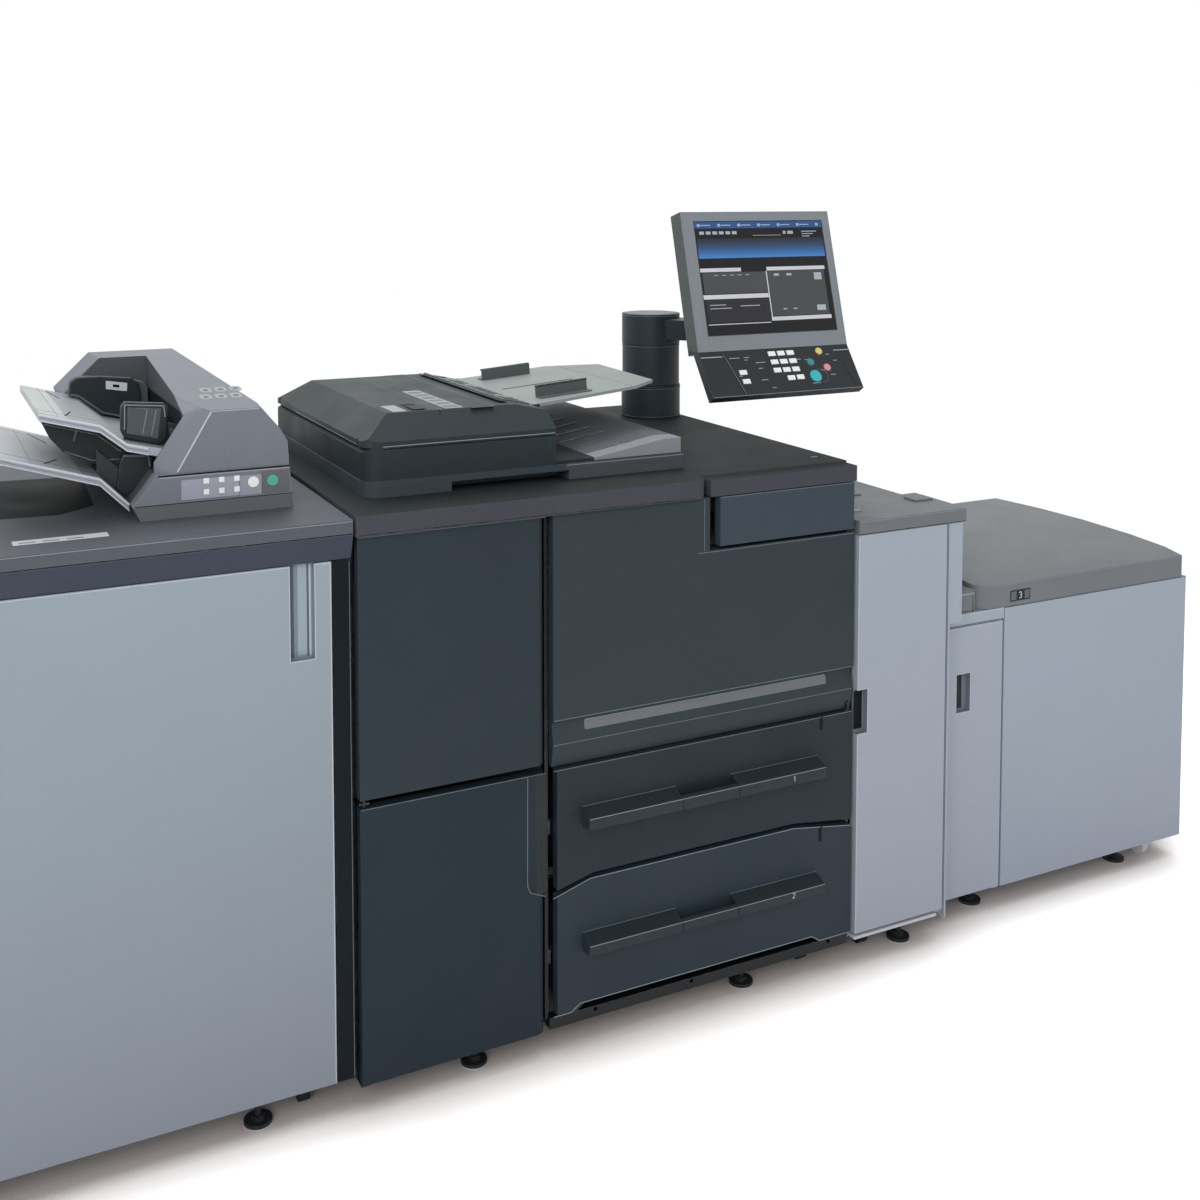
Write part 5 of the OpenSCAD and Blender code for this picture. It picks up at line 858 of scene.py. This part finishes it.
def finisherLooks():
    s = {"top": 995, "edge": -5, "door": 10, "grip": 24, "post": 12, "back": 740, "tray": (-10.3, 0, 600)}
    top = above("finisher", s["top"])
    draw("finisher_worktop", [
        ("topPlate", "blank_plate", top, [(262, 58, 398, 86, 2)], 0.3),
        ("topPlateMarks", "edge_light", top, [(270 + 34 * i, 64, 294 + 34 * i, 72, 1) for i in range(3)], 0.4, 0)])
    edge = front("finisher", s["edge"])
    # the light line along the worktop's front edge is a painted highlight
    draw("finisher_worktop", [
        ("topEdgeLine", "edge_light", edge, [(1, 991.6, 759, 993.0)], 0.2),
        ("bandSeam", "seam_dark", edge, [(1, 971.4, 759, 973.2)], 0.15)])
    face = front("finisher", s["door"])
    # the bright lines along the door's top and right edges, and the light line on the side post, are painted highlights
    draw("finisher_door", [
        ("doorTopLine", "edge_bright", face, [(5, 925.2, 660, 926.6), (702, 925.2, 726, 926.6)], 0.3),
        ("doorEdges", "edge_bright", face, [(725.6, 64, 727, 925)], 0.25)])
    shape("sidePostLine", "finisher_frame", "edge_soft", front("finisher", s["post"]), [(757.2, 64, 758.4, 925)], 0.25)
    grip = front("finisher", s["grip"])
    # the grip's dark strips paint the shadow in its curve, and its bright stripe and rim are painted highlights
    draw("finisher_door", [
        ("gripFloor", "grip_blue", grip, [(676, 778, 691, 926, 2)], 0.6, 0.2),
        ("gripShade", "grip_shade", grip, [(664, 776, 670, 926, 1), (691.4, 776, 694, 926, 1)], 0.5, 0.2),
        ("gripStripe", "edge_bright", grip, [(694.6, 776, 698, 926, 1)], 0.8, 0.2),
        ("gripRim", "edge_bright", face, stroke([(660, 927), (660, 773), (701, 773), (701, 927)], 1.4), 0.5, 0.2)])
    shape("leftSeams", "finisher_frame", "seam_dark", sideways("finisher", 0),
        [(56, 612, 700, 613.4), (146, 64, 147.2, 960), (560, 64, 561.2, 960)], 0.2, 0, -0.2)
    screws("leftScrews", "finisher_frame", sideways("finisher", 0, -1),
        [(-60, 90), (-60, 940), (-700, 90), (-700, 940)])
    back = rear("finisher", s["back"])
    draw("finisher_frame", [
        ("rearSeams", "seam_dark", back, [(-730, 500, -30, 501.6), (-381, 70, -379.6, 960)], 0.25, 0, -0.2),
        ("rearVents", "seam_dark", back,
            [(-660, 760 + 16 * i, -520, 766 + 16 * i, 3) for i in range(7)], 0.3, 0, -0.2)])
    screws("rearScrews", "finisher_frame", back, [(x, z) for z in (80, 940, 490) for x in (-40, -720)])
    tray = plane(spot("finisher", *s["tray"]), (-209.7, 0, 59.4), (0, -1, 0))
    shape("stackRibs", "stack_tray", "edge_soft", tray,
        [(12, -530 + 60 * i, 204, -526 + 60 * i, 1.5) for i in range(7)], 1.4, 0.4)


def inserterLooks():
    s = {"face": 130, "hood": 136, "hoodSlope": (160, 1169), "guide": 476, "guideBack": 500, "wing": 492, "near": 204,
         "hanging": 218, "hangingRear": 440, "worktop": 995, "rim": 164.3, "mouth": 528, "roller": (516, 1126)}
    face = front("finisher", s["face"])
    hood = front("finisher", s["hood"])
    # the light strips on the hood's chamfer and top edge are painted highlights
    draw("inserter_housing", [
        ("keyBandSeam", "seam_dark", face, [(482, 1063.8, 693, 1066.4)], 0.4),
        ("keyBandEdge", "mark_grey", face, [(484, 1061.6, 692, 1062.8)], 0.3),
        ("footSeam", "seam_dark", face, [(446, 1018.6, 699, 1020)], 0.25),
        ("plateGaps", "edge_soft", face, [(610, 1024, 611.2, 1056), (646.4, 1022, 648, 1059)], 0.2, 0),
        ("hoodChamfer", "blank_plate", hood, stroke([(513.6, 1069), (568.4, 1163)], 2.6), 0.4, 0.2),
        ("hoodTopEdge", "mark_grey", hood, [(569, 1162.2, 646, 1163.8)], 0.35, 0.1)])
    slope = plane(spot("finisher", 0, *s["hoodSlope"]), (1, 0, 0), (0, 420, 53))
    marks = [(566 + 25 * i + 8 * j, 40 + 44 * j) for i in range(3) for j in range(2)]
    draw("inserter_housing", [
        ("hoodMarks", "blank_dull", slope, [(x, z, x + 19, z + 32, 8) for x, z in marks], 0.35, 0.1),
        ("hoodMarkSpots", "edge_soft", slope, [(x + 5, z + 8, x + 14, z + 22, 4) for x, z in marks], 0.5, 0)])
    # guide blocks on the trays
    guide = front("finisher", s["guide"])
    draw("inserter_trays", [
        ("rearGuide", "guide_black", front("finisher", s["guideBack"]),
            [[(386, 1157), (402, 1152), (442, 1119), (508, 1102), (510, 1150), (506, 1172), (494, 1183), (440, 1189),
            (400, 1189), (390, 1182)]], 24, 2.5, 0),
        ("rearGuidePlate", "blank_plate", guide,
            [[(450, 1165), (486, 1159), (487, 1174), (450, 1180)]], 0.6, 0.2, -0.5),
        ("rearGuideDot", "seam_dark", guide, [[(462, 1168), (473, 1166.4), (473, 1171.4), (462, 1173)]], 0.9, 0, -0.5),
        ("rearGuideFoot", "edge_soft", guide,
            stroke([(390, 1159), (404, 1155.5), (444, 1123), (506, 1106)], 3), 1.4, 0.3, -0.5),
        ("rearGuideWing", "guide_grey", front("finisher", s["wing"]),
            [[(506, 1103), (524, 1100), (524, 1162), (516, 1174), (500, 1178), (498, 1150)]], 8, 2, -6)])
    near = front("finisher", s["near"])
    draw("inserter_trays", [
        ("frontGuide", "guide_black", near,
            [[(436, 1132), (442, 1120), (495, 1106), (508, 1112), (511, 1166), (505, 1173), (443, 1179), (437, 1172)]],
            6, 2, -3),
        ("frontGuideRibs", "guide_grey", near, [[(446, 1128), (494, 1115), (500, 1164), (448, 1170)]], 7.2, 0.8, 5.4)])
    rim = stroke([(442, 1134), (443, 1174), (504, 1168.5), (506, 1150)], 1.8)
    ribs = stroke([(470, 1124), (478, 1164)], 1.4) + stroke([(484, 1122), (492, 1162)], 1.4)
    layered("frontGuideLines", "inserter_trays", "edge_light", near,
        [(leg, 5.6, 8.0) for leg in rim] + [(leg, 6.8, 7.8) for leg in ribs], 0.2)
    draw("inserter_trays", [
        ("lowerGuide", "guide_black", near,
            [[(428, 1038), (440, 1026), (450, 1032), (478, 1040), (486, 1086), (478, 1092), (440, 1094), (434, 1080)]],
            6, 2, -3),
        ("lowerGuideLines", "edge_light", near, stroke([(440, 1091), (478, 1088), (481, 1070)], 1.4), 6.6, 0, 5.6)])
    # dark plates hanging between the trays, and a dark plate on the worktop that paints the shade under the lower tray
    hanging = front("finisher", s["hanging"])
    draw("inserter_trays", [
        ("hangingPlate", "inner_black", hanging,
            [[(316, 1157), (401, 1134), (441, 1101), (468, 1093), (462, 1082), (434, 1074), (392, 1080), (350, 1102),
              (330, 1126)]], 4, 0.8, 0),
        ("hangingRibs", "guide_grey", hanging,
            stroke([(322, 1149), (400, 1127), (438, 1096)], 2) + stroke([(352, 1103), (394, 1085), (456, 1083)], 2)
            + stroke([(372, 1140), (366, 1118)], 2.4), 5, 0.4, 3.6),
        ("hangingRear", "inner_black", front("finisher", s["hangingRear"]),
            [[(330, 1153), (401, 1134), (441, 1101), (462, 1095), (440, 1082), (392, 1088), (350, 1108)]], 4, 0.8, 0)])
    shape("trayWell", "finisher_worktop", "seam_dark", above("finisher", s["worktop"]),
        [[(232, 252), (346, 244), (404, 292), (414, 560), (232, 580)]], 0.3, 0)
    rim = front("finisher", s["rim"])
    upper = [(311, 1175), (401.1, 1150), (441.1, 1117), (474, 1108)]
    lower = [(254, 1111), (398.9, 1065), (442.6, 1020)]
    # the two bright lines along each tray's rim are painted highlights, with a darker groove line between them
    for name, points in (("upper", upper), ("lower", lower)):
        draw("inserter_trays", [
            (name + "TrayTop", "tray_bright", rim, stroke([(x, z - 2.6) for x, z in points], 3.4), 0.6, 0.3),
            (name + "TrayGroove", "edge_light", rim, stroke([(x, z - 7.4) for x, z in points], 1.6), 0.15, 0),
            (name + "TrayFoot", "tray_bright", rim, stroke([(x, z - 12.2) for x, z in points], 1.6), 0.5, 0)])
    for name, points in (("upper", upper), ("lower", lower)):
        (ax, az), (bx, bz) = points[:2]
        at = plane(spot("finisher", ax, 0, az), (bx - ax, 0, bz - az), (0, 1, 0))
        length = math.hypot(bx - ax, bz - az)
        draw("inserter_trays", [
            (name + "TraySlots", "seam_dark", at, stroke([(length * 0.45, 190), (length * 0.62, 260)], 2.6)
                + stroke([(length * 0.45, 500), (length * 0.62, 430)], 2.6), 0.35, 0),
            (name + "TraySeam", "edge_light", at, [(length * 0.3, 168, length * 0.3 + 1.4, 526)], 0.3, 0)])
    # feed rollers and their cover in the hood's opening
    shape("mouthWall", "inserter_housing", "seam_dark", sideways("finisher", s["mouth"]),
        [(180, 1070, 514, 1160, 4)], 0.3, 0.4, -1.5)
    rollers = [(*s["roller"], [(11, y - 26), (12, y - 25), (12, y + 25), (11, y + 26)], 28) for y in (-420, -300)]
    rounds("feedRollers", "inserter_housing", "roller_rubber", front("finisher", 0),
        [(*s["roller"], [(5, -512), (5, -180)], 20)] + rollers)


def relayLooks():
    s = {"door": -6, "grip": 8, "foot": -4, "top": 888, "edge": -9, "back": 640, "head": 258}
    face = front("relay", s["door"])
    edge = front("relay", s["edge"])
    # the bright lines along the door's edges and round its grip are painted highlights, and the dark floor in the grip
    # is painted shade
    draw("relay_door", [
        ("relayDoorTop", "edge_bright", face, [(2, 856.4, 216, 857.6)], 0.3),
        ("relayDoorEdge", "edge_bright", face, [(2, 72, 3.4, 466), (2, 558, 3.4, 856)], 0.25),
        ("relayGripRim", "edge_bright", face,
            stroke([(1.4, 467.8), (26.2, 467.8), (26.2, 556.2), (1.4, 556.2)], 1.2), 0.4, 0.1),
        ("relayGripFloor", "seam_dark", front("relay", s["grip"]), [(2, 474, 22, 550, 2)], 0.6, 0.2)])
    # the light line along the top's front edge is a painted highlight
    draw("relay_cabinet", [
        ("relayFootStrip", "edge_bright", front("relay", s["foot"]), [(1, 57, 206, 63, 1)], 0, 0.6, -28),
        ("relayTopLine", "edge_light", edge, [(1, 884.4, 262, 885.8)], 0.2),
        ("relayTopSeam", "seam_dark", edge, [(1, 861, 262, 862.4)], 0.1)])
    top = above("relay", s["top"])
    layered("relayTopPads", "relay_cabinet", "hump_grey", top,
        [((206, 78, 254, 120, 6), -sink, 4), ((120, 180, 150, 210, 6), -sink, 3)], 1.2)
    shape("relayTopPlate", "relay_cabinet", "edge_light", top, [(16, 60, 60, 76, 3)], 1.6, 0.4)
    screws("relayScrews", "relay_cabinet", rear("relay", s["back"]), [(x, z) for x in (-12, -214) for z in (90, 830)])
    shape("relayStripSeam", "relay_cabinet", "seam_dark", face, [(221.4, 52, 222.6, 858)], 0.15)
    # bracket and lever between the relay unit's head and the deck
    post = sideways("relay", s["head"])
    draw("relay_cabinet", [
        ("headLever", "blank_dull", post, [(0, 792, 40, 800, 3), (4, 744, 34, 752, 3)], 7, 1),
        ("headLeverDark", "seam_dark", post, [(2, 757, 40, 786, 3)], 1.2, 0.3)])


def deckLooks():
    s = {"grip": 14, "side": 724, "back": 600, "head": {"bracket": 40, "arm": 38, "light": 39}}
    face = front("deck", 0)
    # the bright line along the slab's front edge is a painted highlight, and the dark line below it is painted shadow
    draw("deck_cabinet", [
        ("slabLine", "edge_bright", face, [(1, 648.4, 183, 650)], 0.3),
        ("slabShadow", "seam_dark", face, [(1, 627, 183, 628.4)], 0.15)])
    # the bright lines along the door's edges and round its grip are painted highlights, and the dark floor in the grip
    # is painted shade
    layered("deckDoorLines", "deck_door", "edge_bright", face,
        [((33, 620.8, 180, 622), -sink, 0.25), ((33, 54, 34.2, 620), -sink, 0.2)])
    draw("deck_door", [
        ("deckGripRim", "edge_bright", face,
            stroke([(58, 444), (96, 444), (96, 526), (58, 526), (58, 444)], 1.3), 0.4, 0.1),
        ("deckGripFloor", "deep_grey", front("deck", s["grip"]), [(63, 449, 84, 521, 2)], 0.6, 0.2)])
    draw("deck_lid", [
        ("lidPlate", "deep_grey", face, [(200, 660, 256, 684, 2)], 0.4),
        ("lidPlateFields", "edge_soft", face, [(203, 663, 217, 681, 1), (240, 663, 253, 681, 1)], 0.6, 0)])
    numeral("number3", "deck_lid", "edge_bright", face, 3, 228, 672, 13, 2, 0.7)
    # the light line along the lid's rim is a painted highlight
    shape("lidRimLine", "deck_lid", "edge_light", face, [(150, 697.2, 708, 698.6)], 0.3)
    draw("deck_cabinet", [
        ("lidSeam", "seam_dark", face, [(186, 649.2, 722, 650.6)], 0.15),
        ("headStep", "blank_dull", face, [(38, 690, 102, 693, 1)], 0.4, 0.1),
        ("headSeam", "seam_dark", face, [(37, 655, 103, 656.2), (98.5, 653, 99.7, 697)], 0.3, 0),
        ("headBracket", "inner_black", front("deck", s["head"]["bracket"]),
            [[(40, 696), (98, 696), (98, 716), (64, 742), (40, 746)]], 0, 1.5, -100),
        ("headArm", "hump_grey", front("deck", s["head"]["arm"]),
            [[(40, 736), (62, 734), (96, 748), (98, 760), (40, 762)]], 0, 2, -40),
        ("headLight", "blank_dull", front("deck", s["head"]["light"]), [(41, 716, 62, 730, 2)], 2, 0.5, -2)])
    # the side face is the machine's outermost, so what lies on it is flush
    side = sideways("deck", s["side"])
    heads = [(x, z) for x in (48, 584) for z in (82, 634)]
    draw("deck_cabinet", [
        ("sideSeams", "seam_dark", side, [(30.6, 66, 31.8, 648)], 0.02, 0, -0.2),
        ("sideScrews", "zinc_screw", side, [ring(x, z, 4, 28) for x, z in heads], 0.02, 0),
        ("sideScrewsSlots", "seam_dark", side,
            [(x - 2.4, z - 0.5, x + 2.4, z + 0.5) for x, z in heads], 0.04, 0, -0.2)])
    back = rear("deck", s["back"])
    screws("deckRearScrews", "deck_cabinet", back, [(-20, 82), (-20, 610), (-704, 82), (-704, 540), (-360, 82)])
    shape("deckRearVents", "deck_cabinet", "seam_dark", back,
        [(-640, 150 + 14 * i, -520, 155 + 14 * i, 2.4) for i in range(6)], 0.3, 0, -0.2)


def engineRear():
    s = {"back": 860, "width": 990}
    shape("rearPanels", "engine_rear_cover", "seam_dark", rear("engine", s["back"]),
        [(-496, 66, -494.6, 964), (-985, 470, -5, 471.4)], -0.02, 0, -0.2)
    for x, way in ((0, -1), (s["width"], 1)):
        # depths count the other way on the left side
        out = sideways("engine", x, way)
        seam, vent = sorted((way * 470, way * 471.4)), sorted((way * 640, way * 790))
        shape("sideSeam" + str(x), "engine_side_covers", "seam_dark", out,
            [(seam[0], 66, seam[1], 964)], 0.2, 0, -0.2)
        screws("sideScrews" + str(x), "engine_side_covers", out,
            [(way * 60, 90), (way * 60, 940), (way * 830, 90), (way * 830, 940), (way * 640, 940)])
        shape("sideVents" + str(x), "engine_side_covers", "seam_dark", out,
            [(vent[0], 700 + 15 * i, vent[1], 706 + 15 * i, 2.5) for i in range(8)], 0.25, 0, -0.2)


def engineInside():
    # what shows behind the open doors: covers, levers, knobs, blank plates and screws
    s = {"cover": 57.5, "lever": 55, "screw": 58, "plates": 55.5, "waste": 50}
    cover, lever, plate = (front("engine", s[key]) for key in ("cover", "lever", "screw"))
    draw("developer_unit", [
        ("innerCover", "inner_black", cover, [(700, 560, 960, 850, 10), (372, 560, 470, 850, 10)], 2, 0.6, -0.5),
        ("drumLever", "lever_green", lever, [(704, 700, 716, 780, 5)], 8, 1.5, 0)])
    shape("feedLever", "transfer_unit", "lever_green", lever, [(520, 560, 600, 571, 5)], 8, 1.5, 0)
    shape("cleanLever", "developer_unit", "lever_blue", lever, [(830, 620, 842, 690, 5)], 8, 1.5, 0)
    knob = [(22, -0.5), (22, 10), (18, 16), (10, 17.5)]
    rounds("turnKnob", "developer_unit", "guide_black", lever, [(x, 780, knob, 32) for x in (800, 884)])
    shape("blankPlates", "developer_unit", "blank_plate", front("engine", s["plates"]),
        [(740, 590, 800, 606, 2), (870, 590, 930, 606, 2)], 0.5, 0.1)
    screws("innerScrews", "developer_unit", plate,
        [(690, 840), (690, 540), (970, 560), (970, 840), (365, 550), (365, 850)])
    draw("waste_toner_box", [
        ("fixingCover", "inner_black", cover, [(30, 560, 320, 620, 8), (30, 760, 320, 850, 8)], 2, 0.6, -0.5),
        ("fixingLever", "lever_green", lever, [(250, 776, 262, 836, 5), (60, 776, 72, 836, 5)], 8, 1.5, 0)])
    screws("fixingScrews", "waste_toner_box", plate, [(20, 550), (328, 550), (20, 860), (328, 860)])
    shape("wasteGrip", "waste_toner_box", "lever_blue", front("engine", s["waste"]),
        [(120, 200, 210, 214, 6)], 8, 2, -0.5)


for looks in (engineFront, handleLines, feederLooks, screenPicture, keyTray, postLooks, finisherLooks, inserterLooks,
              relayLooks, deckLooks, engineRear, engineInside):
    looks()
    print("drawn:", looks.__name__)


# camera and light
view = {"at": (-1.12914, -2.57059, 1.51125), "turn": 26.743, "down": 3.433, "lens": 1400.615 / 1200, "sensor": 36,
        "rise": -0.26667}
cameraData = bpy.data.cameras.new("camera")
cameraData.sensor_width = view["sensor"]
cameraData.lens = view["lens"] * view["sensor"]
cameraData.shift_y = view["rise"]
cameraData.clip_end = 60
camera = bpy.data.objects.new("camera", cameraData)
camera.location = view["at"]
camera.rotation_euler = (math.radians(90 - view["down"]), 0, math.radians(-view["turn"]))
bpy.context.scene.collection.objects.link(camera)
bpy.context.scene.camera = camera


def softBox(name, at, aim, size, power):
    data = bpy.data.lights.new(name, "AREA")
    data.shape = "RECTANGLE"
    data.size, data.size_y = size
    data.energy = power
    lamp = bpy.data.objects.new(name, data)
    lamp.location = at
    lamp.rotation_euler = (Vector(aim) - Vector(at)).to_track_quat("-Z", "Y").to_euler()
    bpy.context.scene.collection.objects.link(lamp)


softBox("frontBox", (-3.4, -5.2, 3.6), (0, 0, 0.6), (4, 3), 190)
softBox("topBox", (-0.6, 1.6, 4.4), (0.2, -0.2, 0.6), (4.5, 2.5), 90)


def whiteWorld(level):
    # white where it is seen, and of a lower level as a light
    world = bpy.data.worlds.new("studio")
    bpy.context.scene.world = world
    m = Nodes(world)
    background = m.tree.nodes["Background"]
    m.put((1, 1, 1, 1), background.inputs["Color"])
    m.put(m.remap(m.directRays(), 0, 1, level, 1), background.inputs["Strength"])


whiteWorld(0.62)


def paleFloor():
    # a round pale floor, fading to plain white away from the machine
    s = {"radius": 14, "steps": 96, "fadeFrom": 1.6, "fadeTo": 3.6, "seen": (2.25, 2.2, 2.17, 1),
         "near": (0.55, 0.49, 0.46, 1), "reach": 0.15, "closed": 0.35, "open": 0.98}
    bm = bmesh.new()
    bmesh.ops.create_circle(bm, cap_ends=True, radius=s["radius"], segments=s["steps"])
    mesh = bpy.data.meshes.new("floor")
    bm.to_mesh(mesh)
    bm.free()
    floor = bpy.data.objects.new("floor", mesh)
    bpy.context.scene.collection.objects.link(floor)
    m = Material("paleFloor")
    m.write({"Base Color": (0.9, 0.9, 0.9, 1), "Roughness": 0.9, "Specular IOR Level": 0.06})
    # straight from the camera the floor is brighter, so that its lit part is white and its shadow stays; near the
    # machine its colour is darkened to a brown after the ambient occlusion, a painted contact shadow
    bright = m.add("ShaderNodeBsdfDiffuse")
    close = m.add("ShaderNodeAmbientOcclusion", samples=8)
    m.put(s["reach"], close.inputs["Distance"])
    free = m.remap(close.outputs["AO"], s["closed"], s["open"], 0, 1)
    m.put(m.mix(free, s["near"], s["seen"]), bright.inputs["Color"])
    white = m.add("ShaderNodeEmission")
    m.put((1, 1, 1, 1), white.inputs["Color"])

    def blend(*sockets):
        # a shader between two others, after the factor
        node = m.add("ShaderNodeMixShader")
        for value, socket in zip(sockets, node.inputs):
            m.put(value, socket)
        return node.outputs[0]

    direct = m.directRays()
    away = m.remap(m.vectors("LENGTH", m.coords), s["fadeFrom"], s["fadeTo"], 0, 1)
    ground = blend(direct, m.shader.outputs[0], bright.outputs[0])
    faded = blend(m.maths("MULTIPLY", away, direct), ground, white.outputs[0])
    m.put(faded, m.output.inputs["Surface"])
    mesh.materials.append(m.material)


paleFloor()
bpy.context.scene.view_settings.view_transform = "Standard"
print("camera, light and floor set")
